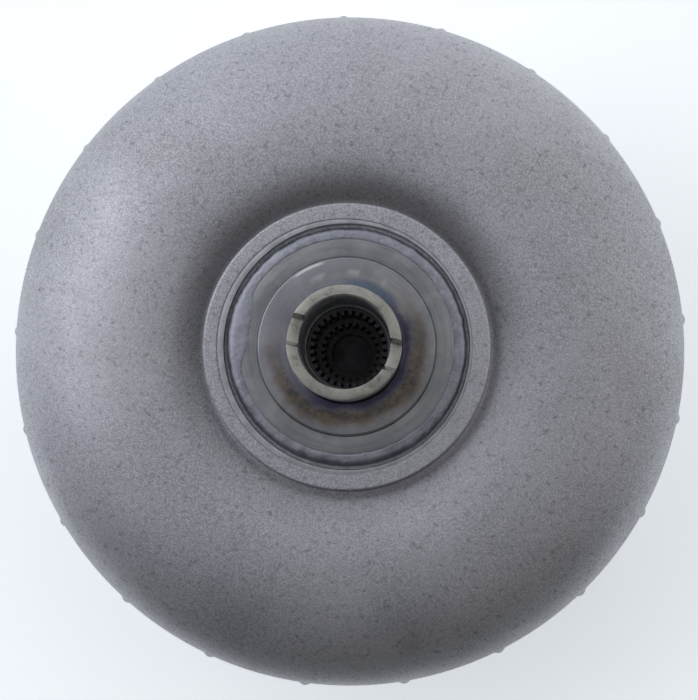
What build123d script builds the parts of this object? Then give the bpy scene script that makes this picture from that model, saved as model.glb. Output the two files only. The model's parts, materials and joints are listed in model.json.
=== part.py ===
from build123d import *
from math import acos, cos, degrees, radians, sin, sqrt
import os

# Torque converter, seen with the pump hub up.
# Frame: +Z along the axis towards the pump hub, origin at the centre of the crank pilot's end face.

os.makedirs("parts", exist_ok=True)

# ---- driving dimensions (mm) ----
SHELL_R = 149.0            # impeller shell, widest radius
SHELL_T = 4.5              # impeller shell wall
HUB_R = 23.81              # pump hub, 1.875 in diameter
HUB_BORE_R = 19.05         # pump hub bore, 1.5 in diameter
HUB_TOP = 178.0            # pump hub end face
PILOT_R = 21.63            # crank pilot, 1.703 in diameter
LUG_PCD = 273.0            # drive lug bolt circle, 10.75 in
LUG_COUNT = 3
LUG_FACE = 10.0            # height of the drive pads' mounting face
SLACK = 0.05               # radial gap of a running pair

# torus: all blade wheels meet at this plane
TORUS_R = 90.0
MID_Z = 84.0
SHELL_CENTRE_Z = 90.0      # centre of the impeller shell's elliptical section
SHELL_RISE = 38.0
TURBINE_CENTRE_Z = 80.0    # centre of the turbine shell's elliptical section
TURBINE_REACH = 50.0
TURBINE_DROP = 35.0
TURBINE_T = 2.0

DIMPLE_COUNT = 21
DIMPLE_PHASE = 2.6
IMPELLER_BLADES = 21
TURBINE_BLADES = 23
STATOR_BLADES = 13
BLADE_T = 1.2
ROLLER_COUNT = 8
NEEDLE_COUNT = 24
NEEDLE_R = 1.5
WASHER_T = 1.0             # hardened washers of the thrust bearings
FACE_GAP = 0.05            # needle to washer
SPRING_COUNT = 6


def ellipse_reach(height, reach, rise):
    """Distance from an ellipse's centre line to its curve at a given height."""
    return reach * sqrt(1 - (height / rise) ** 2)


def ellipse_height(distance, reach, rise):
    """Height of an ellipse's curve at a given distance from its centre line."""
    return rise * sqrt(1 - (distance / reach) ** 2)


def ellipse_turn(distance, reach):
    """Parameter angle in degrees of the point of an ellipse at a signed distance."""
    return degrees(acos(distance / reach))


def polar(radius, angle):
    """Point at a radius and an angle in degrees."""
    return (radius * cos(radians(angle)), radius * sin(radians(angle)))


# ======================= housing: front cover side =======================
COVER_R = 147.5            # outer radius of the cover's wall
COVER_T = 4.7
COVER_FACE_Z = 22.0        # outer flat face
COVER_PLATE_Z = 16.0       # outer face of the dished centre
COVER_PLATE_T = 5.0
COVER_CORNER = 13.0
COVER_HOLE_R = 18.0
COVER_TOP = 80.0
LAP_TOP = 85.0             # thin lip that the impeller rim slides over
LAP_R = 144.4
DISH_IN_R = 50.0
DISH_OUT_R = 62.0

wall_in_r = COVER_R - COVER_T
face_in_z = COVER_FACE_Z + COVER_PLATE_T
plate_in_z = COVER_PLATE_Z + COVER_PLATE_T
corner_r = COVER_R - COVER_CORNER
corner_z = COVER_FACE_Z + COVER_CORNER
corner_in = COVER_CORNER - COVER_T
DISH_STEP = 1.5            # the dish's inner corners sit further out by the wall's slope

with BuildPart() as front_cover:
    with BuildSketch(Plane.XZ):
        with BuildLine():
            Polyline(
                (wall_in_r, face_in_z + corner_in),
                (wall_in_r, LAP_TOP),
                (LAP_R, LAP_TOP),
                (LAP_R, COVER_TOP),
                (COVER_R, COVER_TOP),
                (COVER_R, corner_z),
            )
            RadiusArc((COVER_R, corner_z), (corner_r, COVER_FACE_Z), COVER_CORNER)
            Polyline(
                (corner_r, COVER_FACE_Z),
                (DISH_OUT_R, COVER_FACE_Z),
                (DISH_IN_R, COVER_PLATE_Z),
                (COVER_HOLE_R, COVER_PLATE_Z),
                (COVER_HOLE_R, plate_in_z),
                (DISH_IN_R + DISH_STEP, plate_in_z),
                (DISH_OUT_R + DISH_STEP, face_in_z),
                (wall_in_r - corner_in, face_in_z),
            )
            RadiusArc((wall_in_r - corner_in, face_in_z), (wall_in_r, face_in_z + corner_in), -corner_in)
        make_face()
    revolve(axis=Axis.Z)
front_cover.part.label = "front_cover"
export_step(front_cover.part, "parts/front_cover.step")

PILOT_CHAMFER = 1.5
CENTRE_DRILL_R = 5.0
with BuildPart() as crank_pilot:
    Cylinder(PILOT_R, COVER_PLATE_Z, align=(Align.CENTER, Align.CENTER, Align.MIN))
    with BuildSketch(Plane.XY.offset(COVER_PLATE_Z)):
        Circle(COVER_HOLE_R)
    extrude(amount=COVER_PLATE_T)
    chamfer(crank_pilot.edges().group_by(Axis.Z)[0], PILOT_CHAMFER)
    with BuildSketch(Plane.XY):
        Circle(CENTRE_DRILL_R)
    extrude(amount=CENTRE_DRILL_R, taper=30, mode=Mode.SUBTRACT)
crank_pilot.part.label = "crank_pilot"
export_step(crank_pilot.part, "parts/crank_pilot.step")

LUG_RADIAL = 21.0
LUG_WIDE = 34.0
LUG_CORNER = 5.0
LUG_HOLE_R = 5.25          # M10 thread, modelled at its clearance radius
LUG_HOLE_DEPTH = 11.0
LUG_CHAMFER = 1.0
lug_r = LUG_PCD / 2
with BuildPart() as drive_lugs:
    with BuildSketch(Plane.XY.offset(LUG_FACE)):
        with PolarLocations(lug_r, LUG_COUNT, start_angle=90):
            RectangleRounded(LUG_RADIAL, LUG_WIDE, LUG_CORNER)
    extrude(amount=corner_z - LUG_FACE)
    with BuildSketch(Plane.XZ):
        with BuildLine():
            Polyline(
                (corner_r, COVER_FACE_Z),
                (0, COVER_FACE_Z),
                (0, COVER_TOP),
                (COVER_R, COVER_TOP),
                (COVER_R, corner_z),
            )
            RadiusArc((COVER_R, corner_z), (corner_r, COVER_FACE_Z), COVER_CORNER)
        make_face()
    revolve(axis=Axis.Z, mode=Mode.SUBTRACT)
    chamfer(drive_lugs.faces().group_by(Axis.Z)[0].edges(), LUG_CHAMFER)
    with BuildSketch(Plane.XY.offset(LUG_FACE)):
        with PolarLocations(lug_r, LUG_COUNT, start_angle=90):
            Circle(LUG_HOLE_R)
    extrude(amount=LUG_HOLE_DEPTH, mode=Mode.SUBTRACT)
drive_lugs.part.label = "drive_lugs"
export_step(drive_lugs.part, "parts/drive_lugs.step")

WEIGHT_R = 112.0
WEIGHT_ANGLE = 35.0
WEIGHT_T = 2.5
WEIGHT_RADIAL = 14.0
WEIGHT_LONG = 26.0
WEIGHT_CORNER = 2.0
with BuildPart() as balance_weight:
    with BuildSketch(Plane.XY.offset(COVER_FACE_Z - WEIGHT_T)):
        with PolarLocations(WEIGHT_R, 1, start_angle=WEIGHT_ANGLE):
            RectangleRounded(WEIGHT_RADIAL, WEIGHT_LONG, WEIGHT_CORNER)
    extrude(amount=WEIGHT_T)
balance_weight.part.label = "balance_weight"
export_step(balance_weight.part, "parts/balance_weight.step")

# the girth weld fills the step where the impeller rim laps the cover's lip
RIM_END = 82.5
WELD_FOOT = 77.5
WELD_BULGE = 0.5
weld_top_r = SHELL_R - 0.3
with BuildPart() as girth_weld:
    with BuildSketch(Plane.XZ):
        with BuildLine():
            Polyline(
                (COVER_R, WELD_FOOT),
                (COVER_R, COVER_TOP),
                (LAP_R, COVER_TOP),
                (LAP_R, RIM_END),
                (weld_top_r, RIM_END),
            )
            ThreePointArc((weld_top_r, RIM_END), (SHELL_R - WELD_BULGE, COVER_TOP), (COVER_R, WELD_FOOT))
        make_face()
    revolve(axis=Axis.Z)
girth_weld.part.label = "girth_weld"
export_step(girth_weld.part, "parts/girth_weld.step")

# ======================= housing: impeller side =======================
COLLAR_R = 61.6            # raised collar round the pump hub's flange
COLLAR_TOP = 132.5
COLLAR_ROUND = 2.0         # its rounded outer edge
COLLAR_FOOT = 1.4          # step of the collar's foot above the torus
LAND_OUT_R = 55.4          # machined land inside the collar
LAND_DROP = 0.5
LAND_IN_R = 53.4
LAND_CHAMFER = 0.4
HUB_SEAT_R = 46.0          # bore of the shell that the hub flange is welded into
LEDGE_Z = 128.0            # ledge the weld bead lies on
SHELL_BORE_Z = 119.5
FOOT_R = 63.4
INNER_JOIN_R = 60.0
FLOOR_OUT_R = 57.0         # the flat floor inside the collar ends here

shell_reach = SHELL_R - TORUS_R
cavity_reach = shell_reach - SHELL_T
cavity_rise = SHELL_RISE - SHELL_T
foot_z = SHELL_CENTRE_Z + ellipse_height(FOOT_R - TORUS_R, shell_reach, SHELL_RISE)
foot_turn = ellipse_turn(FOOT_R - TORUS_R, shell_reach)
inner_join_z = SHELL_CENTRE_Z + ellipse_height(INNER_JOIN_R - TORUS_R, cavity_reach, cavity_rise)
inner_turn = ellipse_turn(INNER_JOIN_R - TORUS_R, cavity_reach)
rim_in_r = TORUS_R + cavity_reach
round_r = COLLAR_R - COLLAR_ROUND
round_z = COLLAR_TOP - COLLAR_ROUND
land_z = COLLAR_TOP - LAND_DROP
torus_centre = (TORUS_R, SHELL_CENTRE_Z)

DIMPLE_R = 147.6           # radius of the dimples' centre line
DIMPLE_Z = 87.0
DIMPLE_HALF_W = 2.9
DIMPLE_HALF_H = 4.4

with BuildPart() as dimple:
    with BuildSketch(Plane.XZ):
        with BuildLine():
            Line((0, -DIMPLE_HALF_H), (0, DIMPLE_HALF_H))
            EllipticalCenterArc((0, 0), DIMPLE_HALF_W, DIMPLE_HALF_H, start_angle=-90, arc_size=180)
        make_face()
    revolve(axis=Axis.Z)

with BuildPart() as impeller_shell:
    with BuildSketch(Plane.XZ):
        with BuildLine():
            Polyline(
                (rim_in_r, SHELL_CENTRE_Z),
                (rim_in_r, RIM_END),
                (SHELL_R, RIM_END),
                (SHELL_R, SHELL_CENTRE_Z),
            )
            EllipticalCenterArc(torus_centre, shell_reach, SHELL_RISE, start_angle=0, arc_size=foot_turn)
            Polyline(
                (FOOT_R, foot_z),
                (COLLAR_R, foot_z + COLLAR_FOOT),
                (COLLAR_R, round_z),
            )
            RadiusArc((COLLAR_R, round_z), (round_r, COLLAR_TOP), -COLLAR_ROUND)
            Polyline(
                (round_r, COLLAR_TOP),
                (LAND_OUT_R, COLLAR_TOP),
                (LAND_OUT_R, land_z),
                (LAND_IN_R + LAND_CHAMFER, land_z),
                (LAND_IN_R, land_z - LAND_CHAMFER),
                (LAND_IN_R, LEDGE_Z),
                (HUB_SEAT_R, LEDGE_Z),
                (HUB_SEAT_R, SHELL_BORE_Z),
                (FLOOR_OUT_R, SHELL_BORE_Z),
                (INNER_JOIN_R, inner_join_z),
            )
            EllipticalCenterArc(
                torus_centre, cavity_reach, cavity_rise, start_angle=inner_turn, arc_size=-inner_turn
            )
        make_face()
    revolve(axis=Axis.Z)
    with Locations((0, 0, DIMPLE_Z)):
        with PolarLocations(DIMPLE_R, DIMPLE_COUNT, start_angle=DIMPLE_PHASE):
            add(dimple.part)
impeller_shell.part.label = "impeller_shell"
export_step(impeller_shell.part, "parts/impeller_shell.step")

WELD_IN_TOP = 134.0
WELD_OUT_R = 51.8
WELD_OUT_Z = 128.9
WELD_MID_R = 49.6
WELD_MID_Z = 132.6
with BuildPart() as hub_weld:
    with BuildSketch(Plane.XZ):
        with BuildLine():
            Polyline(
                (WELD_OUT_R, WELD_OUT_Z),
                (WELD_OUT_R, LEDGE_Z),
                (HUB_SEAT_R, LEDGE_Z),
                (HUB_SEAT_R, WELD_IN_TOP),
            )
            ThreePointArc((HUB_SEAT_R, WELD_IN_TOP), (WELD_MID_R, WELD_MID_Z), (WELD_OUT_R, WELD_OUT_Z))
        make_face()
    revolve(axis=Axis.Z)
hub_weld.part.label = "hub_weld"
export_step(hub_weld.part, "parts/hub_weld.step")

HUB_RING_TOP = 134.0       # welded outer ring of the hub flange
HUB_DISC_TOP = 135.0       # turned inner disc of the hub flange
HUB_DISC_R = 37.7
DISC_GROOVE = 0.5          # fine groove round the disc
DISC_CHAMFER = 0.3
HUB_BOTTOM = 109.0         # face the rear thrust bearing runs on
HUB_FILLET = 1.5
HUB_SHOULDER = HUB_DISC_TOP + HUB_FILLET   # where the tube sits on the flange
SPIGOT_R = 22.8            # the tube's end pressed into the flange
BOSS_R = 42.0              # boss the rear thrust bearing runs against
BOSS_Z = 117.5
groove_z = HUB_RING_TOP - DISC_GROOVE
with BuildPart() as hub_flange:
    with BuildSketch(Plane.XZ):
        with BuildLine():
            Polyline(
                (SPIGOT_R, HUB_BOTTOM),
                (BOSS_R, HUB_BOTTOM),
                (BOSS_R, BOSS_Z),
                (HUB_SEAT_R, SHELL_BORE_Z),
                (HUB_SEAT_R, HUB_RING_TOP),
                (HUB_DISC_R + 2 * DISC_GROOVE, HUB_RING_TOP),
                (HUB_DISC_R + DISC_GROOVE, groove_z),
                (HUB_DISC_R, groove_z),
                (HUB_DISC_R, HUB_DISC_TOP - DISC_CHAMFER),
                (HUB_DISC_R - DISC_CHAMFER, HUB_DISC_TOP),
                (HUB_R + HUB_FILLET, HUB_DISC_TOP),
            )
            RadiusArc((HUB_R + HUB_FILLET, HUB_DISC_TOP), (HUB_R, HUB_SHOULDER), HUB_FILLET)
            Polyline((HUB_R, HUB_SHOULDER), (SPIGOT_R, HUB_SHOULDER), (SPIGOT_R, HUB_BOTTOM))
        make_face()
    revolve(axis=Axis.Z)
hub_flange.part.label = "hub_flange"
export_step(hub_flange.part, "parts/hub_flange.step")

HUB_LEDGE_R = 17.9
HUB_LEDGE_Z = 119.0
HUB_CHAMFER = 0.9
BORE_CHAMFER = 0.7
SLOT_FLOOR_W = 9.6
SLOT_TOP_W = 13.9
SLOT_DEPTH = 9.0
CUT_PAST = 1.0             # how far the slot cutter runs past the tube
with BuildPart() as pump_hub:
    with BuildSketch(Plane.XZ):
        with BuildLine():
            Polyline(
                (HUB_LEDGE_R, HUB_BOTTOM),
                (SPIGOT_R, HUB_BOTTOM),
                (SPIGOT_R, HUB_SHOULDER),
                (HUB_R, HUB_SHOULDER),
                (HUB_R, HUB_TOP - HUB_CHAMFER),
                (HUB_R - HUB_CHAMFER, HUB_TOP),
                (HUB_BORE_R + BORE_CHAMFER, HUB_TOP),
                (HUB_BORE_R, HUB_TOP - BORE_CHAMFER),
                (HUB_BORE_R, HUB_LEDGE_Z),
                (HUB_LEDGE_R, HUB_LEDGE_Z),
                close=True,
            )
        make_face()
    revolve(axis=Axis.Z)
    with BuildSketch(Plane.YZ):
        with BuildLine():
            Polyline(
                (-SLOT_FLOOR_W / 2, HUB_TOP - SLOT_DEPTH),
                (SLOT_FLOOR_W / 2, HUB_TOP - SLOT_DEPTH),
                (SLOT_TOP_W / 2, HUB_TOP + CUT_PAST),
                (-SLOT_TOP_W / 2, HUB_TOP + CUT_PAST),
                close=True,
            )
        make_face()
    extrude(amount=HUB_R + CUT_PAST, both=True, mode=Mode.SUBTRACT)
pump_hub.part.label = "pump_hub"
export_step(pump_hub.part, "parts/pump_hub.step")

# ---- blades: curved strips cut to the flow channel between shell and core ring ----
CORE_R = 97.5
CORE_REACH = 31.0
CORE_RISE = 20.0
CORE_T = 1.2
WHEEL_GAP = 1.5            # axial gap between impeller and turbine at the torus plane
BLADE_IN_R = 62.0
BLADE_CLEAR = 1.8          # axial room between the blades' ends and the stator
STATOR_BOTTOM = 68.0
STATOR_TOP = 101.0
BLADE_OUT_R = 143.0
BLADE_PAST = 4.0           # how far a blade's blank runs past the flow channel
IMPELLER_SWEEP = 14.0      # degrees the impeller blade leans over its length
TURBINE_SWEEP = -26.0

core_in_reach = CORE_REACH - CORE_T
core_in_rise = CORE_RISE - CORE_T
impeller_mouth = MID_Z + WHEEL_GAP
turbine_mouth = MID_Z - WHEEL_GAP

with BuildPart() as impeller_core_ring:
    with BuildSketch(Plane.XZ):
        with BuildLine():
            Line((CORE_R - CORE_REACH, impeller_mouth), (CORE_R - CORE_REACH + CORE_T, impeller_mouth))
            EllipticalCenterArc(
                (CORE_R, impeller_mouth), core_in_reach, core_in_rise, start_angle=180, arc_size=-180
            )
            Line((CORE_R + CORE_REACH - CORE_T, impeller_mouth), (CORE_R + CORE_REACH, impeller_mouth))
            EllipticalCenterArc((CORE_R, impeller_mouth), CORE_REACH, CORE_RISE, start_angle=0, arc_size=180)
        make_face()
    revolve(axis=Axis.Z)
impeller_core_ring.part.label = "impeller_core_ring"
export_step(impeller_core_ring.part, "parts/impeller_core_ring.step")

with BuildPart() as impeller_blades:
    with BuildSketch(Plane.XY.offset(impeller_mouth)):
        for count in range(IMPELLER_BLADES):
            turn = DIMPLE_PHASE + count * 360 / IMPELLER_BLADES
            with BuildLine(mode=Mode.PRIVATE) as blade_line:
                ThreePointArc(
                    polar(BLADE_IN_R - BLADE_PAST, turn - IMPELLER_SWEEP),
                    polar((BLADE_IN_R + BLADE_OUT_R) / 2, turn - IMPELLER_SWEEP / 3),
                    polar(BLADE_OUT_R + BLADE_PAST, turn),
                )
            SlotArc(blade_line.edge(), BLADE_T)
    extrude(amount=SHELL_CENTRE_Z + SHELL_RISE - impeller_mouth)
    with BuildSketch(Plane.XZ):
        with BuildLine():
            Polyline(
                (rim_in_r, SHELL_CENTRE_Z),
                (rim_in_r, impeller_mouth),
                (CORE_R + CORE_REACH, impeller_mouth),
            )
            EllipticalCenterArc((CORE_R, impeller_mouth), CORE_REACH, CORE_RISE, start_angle=0, arc_size=180)
            Polyline(
                (CORE_R - CORE_REACH, impeller_mouth),
                (CORE_R - CORE_REACH, STATOR_TOP + BLADE_CLEAR),
                (BLADE_IN_R, STATOR_TOP + 3 * BLADE_CLEAR),
                (INNER_JOIN_R, inner_join_z),
            )
            EllipticalCenterArc(
                torus_centre, cavity_reach, cavity_rise, start_angle=inner_turn, arc_size=-inner_turn
            )
        make_face()
    revolve(axis=Axis.Z, mode=Mode.INTERSECT)
impeller_blades.part.label = "impeller_blades"
export_step(impeller_blades.part, "parts/impeller_blades.step")

# ======================= turbine =======================
FLANGE_Z = 57.4            # underside of the turbine shell's riveted flange
FLANGE_IN_R = 32.0
RIVET_R = 41.0
RIVET_COUNT = 12
RIVET_SHANK_R = 2.5
RIVET_HEAD_R = 4.2
RIVET_HEAD_T = 1.6

bowl_reach = TURBINE_REACH - TURBINE_T
bowl_drop = TURBINE_DROP - TURBINE_T
flange_top = FLANGE_Z + TURBINE_T
flange_join_r = TORUS_R - ellipse_reach(TURBINE_CENTRE_Z - FLANGE_Z, TURBINE_REACH, TURBINE_DROP)
bowl_join_r = TORUS_R - ellipse_reach(TURBINE_CENTRE_Z - flange_top, bowl_reach, bowl_drop)
flange_turn = ellipse_turn(flange_join_r - TORUS_R, TURBINE_REACH)
bowl_turn = ellipse_turn(bowl_join_r - TORUS_R, bowl_reach)

with BuildPart() as turbine_shell:
    with BuildSketch(Plane.XZ):
        with BuildLine():
            Polyline(
                (TORUS_R + bowl_reach, TURBINE_CENTRE_Z),
                (TORUS_R + bowl_reach, turbine_mouth),
                (TORUS_R + TURBINE_REACH, turbine_mouth),
                (TORUS_R + TURBINE_REACH, TURBINE_CENTRE_Z),
            )
            EllipticalCenterArc(
                (TORUS_R, TURBINE_CENTRE_Z), TURBINE_REACH, TURBINE_DROP, start_angle=0, arc_size=-flange_turn
            )
            Polyline(
                (flange_join_r, FLANGE_Z),
                (FLANGE_IN_R, FLANGE_Z),
                (FLANGE_IN_R, flange_top),
                (bowl_join_r, flange_top),
            )
            EllipticalCenterArc(
                (TORUS_R, TURBINE_CENTRE_Z), bowl_reach, bowl_drop, start_angle=-bowl_turn, arc_size=bowl_turn
            )
        make_face()
    revolve(axis=Axis.Z)
    with BuildSketch(Plane.XY.offset(FLANGE_Z)):
        with PolarLocations(RIVET_R, RIVET_COUNT):
            Circle(RIVET_SHANK_R)
    extrude(amount=TURBINE_T, mode=Mode.SUBTRACT)
turbine_shell.part.label = "turbine_shell"
export_step(turbine_shell.part, "parts/turbine_shell.step")

with BuildPart() as turbine_core_ring:
    with BuildSketch(Plane.XZ):
        with BuildLine():
            Line((CORE_R - CORE_REACH, turbine_mouth), (CORE_R - CORE_REACH + CORE_T, turbine_mouth))
            EllipticalCenterArc(
                (CORE_R, turbine_mouth), core_in_reach, core_in_rise, start_angle=180, arc_size=180
            )
            Line((CORE_R + CORE_REACH - CORE_T, turbine_mouth), (CORE_R + CORE_REACH, turbine_mouth))
            EllipticalCenterArc((CORE_R, turbine_mouth), CORE_REACH, CORE_RISE, start_angle=0, arc_size=-180)
        make_face()
    revolve(axis=Axis.Z)
turbine_core_ring.part.label = "turbine_core_ring"
export_step(turbine_core_ring.part, "parts/turbine_core_ring.step")

with BuildPart() as turbine_blades:
    with BuildSketch(Plane.XY.offset(TURBINE_CENTRE_Z - TURBINE_DROP)):
        for count in range(TURBINE_BLADES):
            turn = count * 360 / TURBINE_BLADES
            with BuildLine(mode=Mode.PRIVATE) as blade_line:
                ThreePointArc(
                    polar(BLADE_IN_R - BLADE_PAST, turn - TURBINE_SWEEP),
                    polar((BLADE_IN_R + BLADE_OUT_R) / 2, turn - TURBINE_SWEEP / 3),
                    polar(BLADE_OUT_R, turn),
                )
            SlotArc(blade_line.edge(), BLADE_T)
    extrude(amount=turbine_mouth - TURBINE_CENTRE_Z + TURBINE_DROP)
    with BuildSketch(Plane.XZ):
        with BuildLine():
            Polyline(
                (TORUS_R + bowl_reach, TURBINE_CENTRE_Z),
                (TORUS_R + bowl_reach, turbine_mouth),
                (CORE_R + CORE_REACH, turbine_mouth),
            )
            EllipticalCenterArc((CORE_R, turbine_mouth), CORE_REACH, CORE_RISE, start_angle=0, arc_size=-180)
            Polyline(
                (CORE_R - CORE_REACH, turbine_mouth),
                (CORE_R - CORE_REACH, STATOR_BOTTOM - BLADE_CLEAR),
                (BLADE_IN_R, STATOR_BOTTOM - 2 * BLADE_CLEAR),
                (bowl_join_r, flange_top),
            )
            EllipticalCenterArc(
                (TORUS_R, TURBINE_CENTRE_Z), bowl_reach, bowl_drop, start_angle=-bowl_turn, arc_size=bowl_turn
            )
        make_face()
    revolve(axis=Axis.Z, mode=Mode.INTERSECT)
turbine_blades.part.label = "turbine_blades"
export_step(turbine_blades.part, "parts/turbine_blades.step")

HUB_NOSE_R = 24.0
HUB_NOSE_Z = 23.3
SEAT_Z = 52.0              # underside of the turbine hub's flange
SEAT_R = 50.0
DRIVEN_T = 2.5
driven_bottom = SEAT_Z - DRIVEN_T
DRIVEN_IN_R = 30.0
TURBINE_HUB_TOP = 61.0
SPLINE_MINOR_R = 11.8
SPLINE_MAJOR_R = 13.0
SPLINE_TEETH = 24
SPLINE_BOTTOM = 35.0
NOSE_BORE_R = 9.5
SEAL_Z = 30.6
SEAL_W = 2.0
SEAL_FLOOR_R = 21.8
HUB_RELIEF = 1.5           # shoulder under the driven plate's seat
TOOTH_W = 1.6
TOOTH_PAST = 0.6           # extra reach of a spline's cutter


def spline_sketch(minor_r, major_r, teeth):
    """Outline of a splined bore: a round hole with square grooves round it."""
    with BuildSketch() as outline:
        Circle(minor_r)
        with PolarLocations((minor_r + major_r) / 2, teeth):
            Rectangle(major_r - minor_r + TOOTH_PAST, TOOTH_W)
    return outline.sketch


with BuildPart() as turbine_hub:
    with BuildSketch(Plane.XZ):
        with BuildLine():
            Polyline(
                (NOSE_BORE_R, HUB_NOSE_Z),
                (HUB_NOSE_R, HUB_NOSE_Z),
                (HUB_NOSE_R, SEAL_Z),
                (SEAL_FLOOR_R, SEAL_Z),
                (SEAL_FLOOR_R, SEAL_Z + SEAL_W),
                (HUB_NOSE_R, SEAL_Z + SEAL_W),
                (HUB_NOSE_R, driven_bottom - HUB_RELIEF),
                (DRIVEN_IN_R, driven_bottom - HUB_RELIEF),
                (DRIVEN_IN_R, SEAT_Z),
                (SEAT_R, SEAT_Z),
                (SEAT_R, FLANGE_Z),
                (FLANGE_IN_R, FLANGE_Z),
                (FLANGE_IN_R, TURBINE_HUB_TOP),
                (NOSE_BORE_R, TURBINE_HUB_TOP),
                close=True,
            )
        make_face()
    revolve(axis=Axis.Z)
    with BuildSketch(Plane.XY.offset(SPLINE_BOTTOM)):
        add(spline_sketch(SPLINE_MINOR_R, SPLINE_MAJOR_R, SPLINE_TEETH))
    extrude(amount=TURBINE_HUB_TOP - SPLINE_BOTTOM, mode=Mode.SUBTRACT)
    with BuildSketch(Plane.XY.offset(SEAT_Z)):
        with PolarLocations(RIVET_R, RIVET_COUNT):
            Circle(RIVET_SHANK_R)
    extrude(amount=FLANGE_Z - SEAT_Z, mode=Mode.SUBTRACT)
turbine_hub.part.label = "turbine_hub"
export_step(turbine_hub.part, "parts/turbine_hub.step")

with BuildPart() as turbine_rivets:
    with BuildSketch(Plane.XY.offset(driven_bottom)):
        with PolarLocations(RIVET_R, RIVET_COUNT):
            Circle(RIVET_SHANK_R)
    extrude(amount=flange_top - driven_bottom)
    for head_z, rise in ((flange_top, RIVET_HEAD_T), (driven_bottom, -RIVET_HEAD_T)):
        with BuildSketch(Plane.XY.offset(head_z)):
            with PolarLocations(RIVET_R, RIVET_COUNT):
                Circle(RIVET_HEAD_R)
        extrude(amount=rise, taper=20)
turbine_rivets.part.label = "turbine_rivets"
export_step(turbine_rivets.part, "parts/turbine_rivets.step")

with BuildPart() as piston_seal_ring:
    with BuildSketch(Plane.XY.offset(SEAL_Z)):
        Circle(HUB_NOSE_R + SLACK)
        Circle(SEAL_FLOOR_R, mode=Mode.SUBTRACT)
    extrude(amount=SEAL_W)
piston_seal_ring.part.label = "piston_seal_ring"
export_step(piston_seal_ring.part, "parts/piston_seal_ring.step")

WASHER_IN_R = 11.0
WASHER_OUT_R = 23.0
WASHER_GROOVES = 6
WASHER_GROOVE_W = 1.5
WASHER_WEB = 1.0           # thickness left under the oil grooves
WASHER_GAP = 0.1
with BuildPart() as thrust_washer:
    with BuildSketch(Plane.XY.offset(plate_in_z)):
        Circle(WASHER_OUT_R)
        Circle(WASHER_IN_R, mode=Mode.SUBTRACT)
        with PolarLocations((WASHER_IN_R + WASHER_OUT_R) / 2, WASHER_GROOVES):
            Rectangle(WASHER_OUT_R, WASHER_GROOVE_W, mode=Mode.SUBTRACT)
    extrude(amount=HUB_NOSE_Z - plate_in_z - WASHER_GAP)
    with BuildSketch(Plane.XY.offset(plate_in_z)):
        Circle(WASHER_OUT_R)
        Circle(WASHER_IN_R, mode=Mode.SUBTRACT)
    extrude(amount=WASHER_WEB)
thrust_washer.part.label = "thrust_washer"
export_step(thrust_washer.part, "parts/thrust_washer.step")

# ======================= torsional damper =======================
SPRING_R = 120.0           # radius of the springs' centre line
SPRING_Z = 42.0
SPRING_OD = 14.0
SPRING_WIRE = 2.8
SPRING_LENGTH = 34.0
SPRING_TURNS = 7
DRIVEN_RIM_R = 126.0
DRIVEN_Z = 40.5
BEND_IN_R = 48.0           # the driven plate slopes between these radii
BEND_OUT_R = 66.0
BEND_SHIFT = 1.0           # the slope's upper corners sit further out
EASE_PITCH_R = 86.0        # lightening holes
EASE_R = 9.0
BETWEEN = 30.0             # degrees from a spring to the middle of the next gap
SPRING_SIDE = 0.8          # room round a spring in its window
SPRING_END = 0.6
PLATE_T = 1.5
FRONT_PLATE_Z = 37.0
REAR_PLATE_Z = 45.5
PLATE_IN_R = 110.0
PLATE_OUT_R = 134.0
WINDOW_W = SPRING_OD + SPRING_SIDE
WINDOW_L = SPRING_LENGTH + SPRING_END
POST_R = 130.6
POST_SHANK_R = 2.2
POST_HEAD_R = 3.2
TAB_R = 132.0
TAB_T = 2.6
TAB_W = 10.0
TAB_ANGLE = 17.0
TAB_GAP = 0.6

with BuildPart() as damper_driven_plate:
    with BuildSketch(Plane.XZ):
        with BuildLine():
            Polyline(
                (DRIVEN_IN_R, driven_bottom),
                (BEND_IN_R, driven_bottom),
                (BEND_OUT_R, DRIVEN_Z),
                (DRIVEN_RIM_R, DRIVEN_Z),
                (DRIVEN_RIM_R, DRIVEN_Z + DRIVEN_T),
                (BEND_OUT_R + BEND_SHIFT, DRIVEN_Z + DRIVEN_T),
                (BEND_IN_R + BEND_SHIFT, SEAT_Z),
                (DRIVEN_IN_R, SEAT_Z),
                close=True,
            )
        make_face()
    revolve(axis=Axis.Z)
    with BuildSketch(Plane.XY.offset(DRIVEN_Z)):
        with PolarLocations(SPRING_R, SPRING_COUNT):
            Rectangle(WINDOW_W, WINDOW_L)
        with PolarLocations(SPRING_R + SPRING_OD / 2, SPRING_COUNT):
            Rectangle(SPRING_OD, WINDOW_L)
        with PolarLocations(EASE_PITCH_R, SPRING_COUNT, start_angle=BETWEEN):
            Circle(EASE_R)
    extrude(amount=DRIVEN_T, mode=Mode.SUBTRACT)
    with BuildSketch(Plane.XY.offset(driven_bottom)):
        with PolarLocations(RIVET_R, RIVET_COUNT):
            Circle(RIVET_SHANK_R)
    extrude(amount=DRIVEN_T, mode=Mode.SUBTRACT)
damper_driven_plate.part.label = "damper_driven_plate"
export_step(damper_driven_plate.part, "parts/damper_driven_plate.step")

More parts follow.
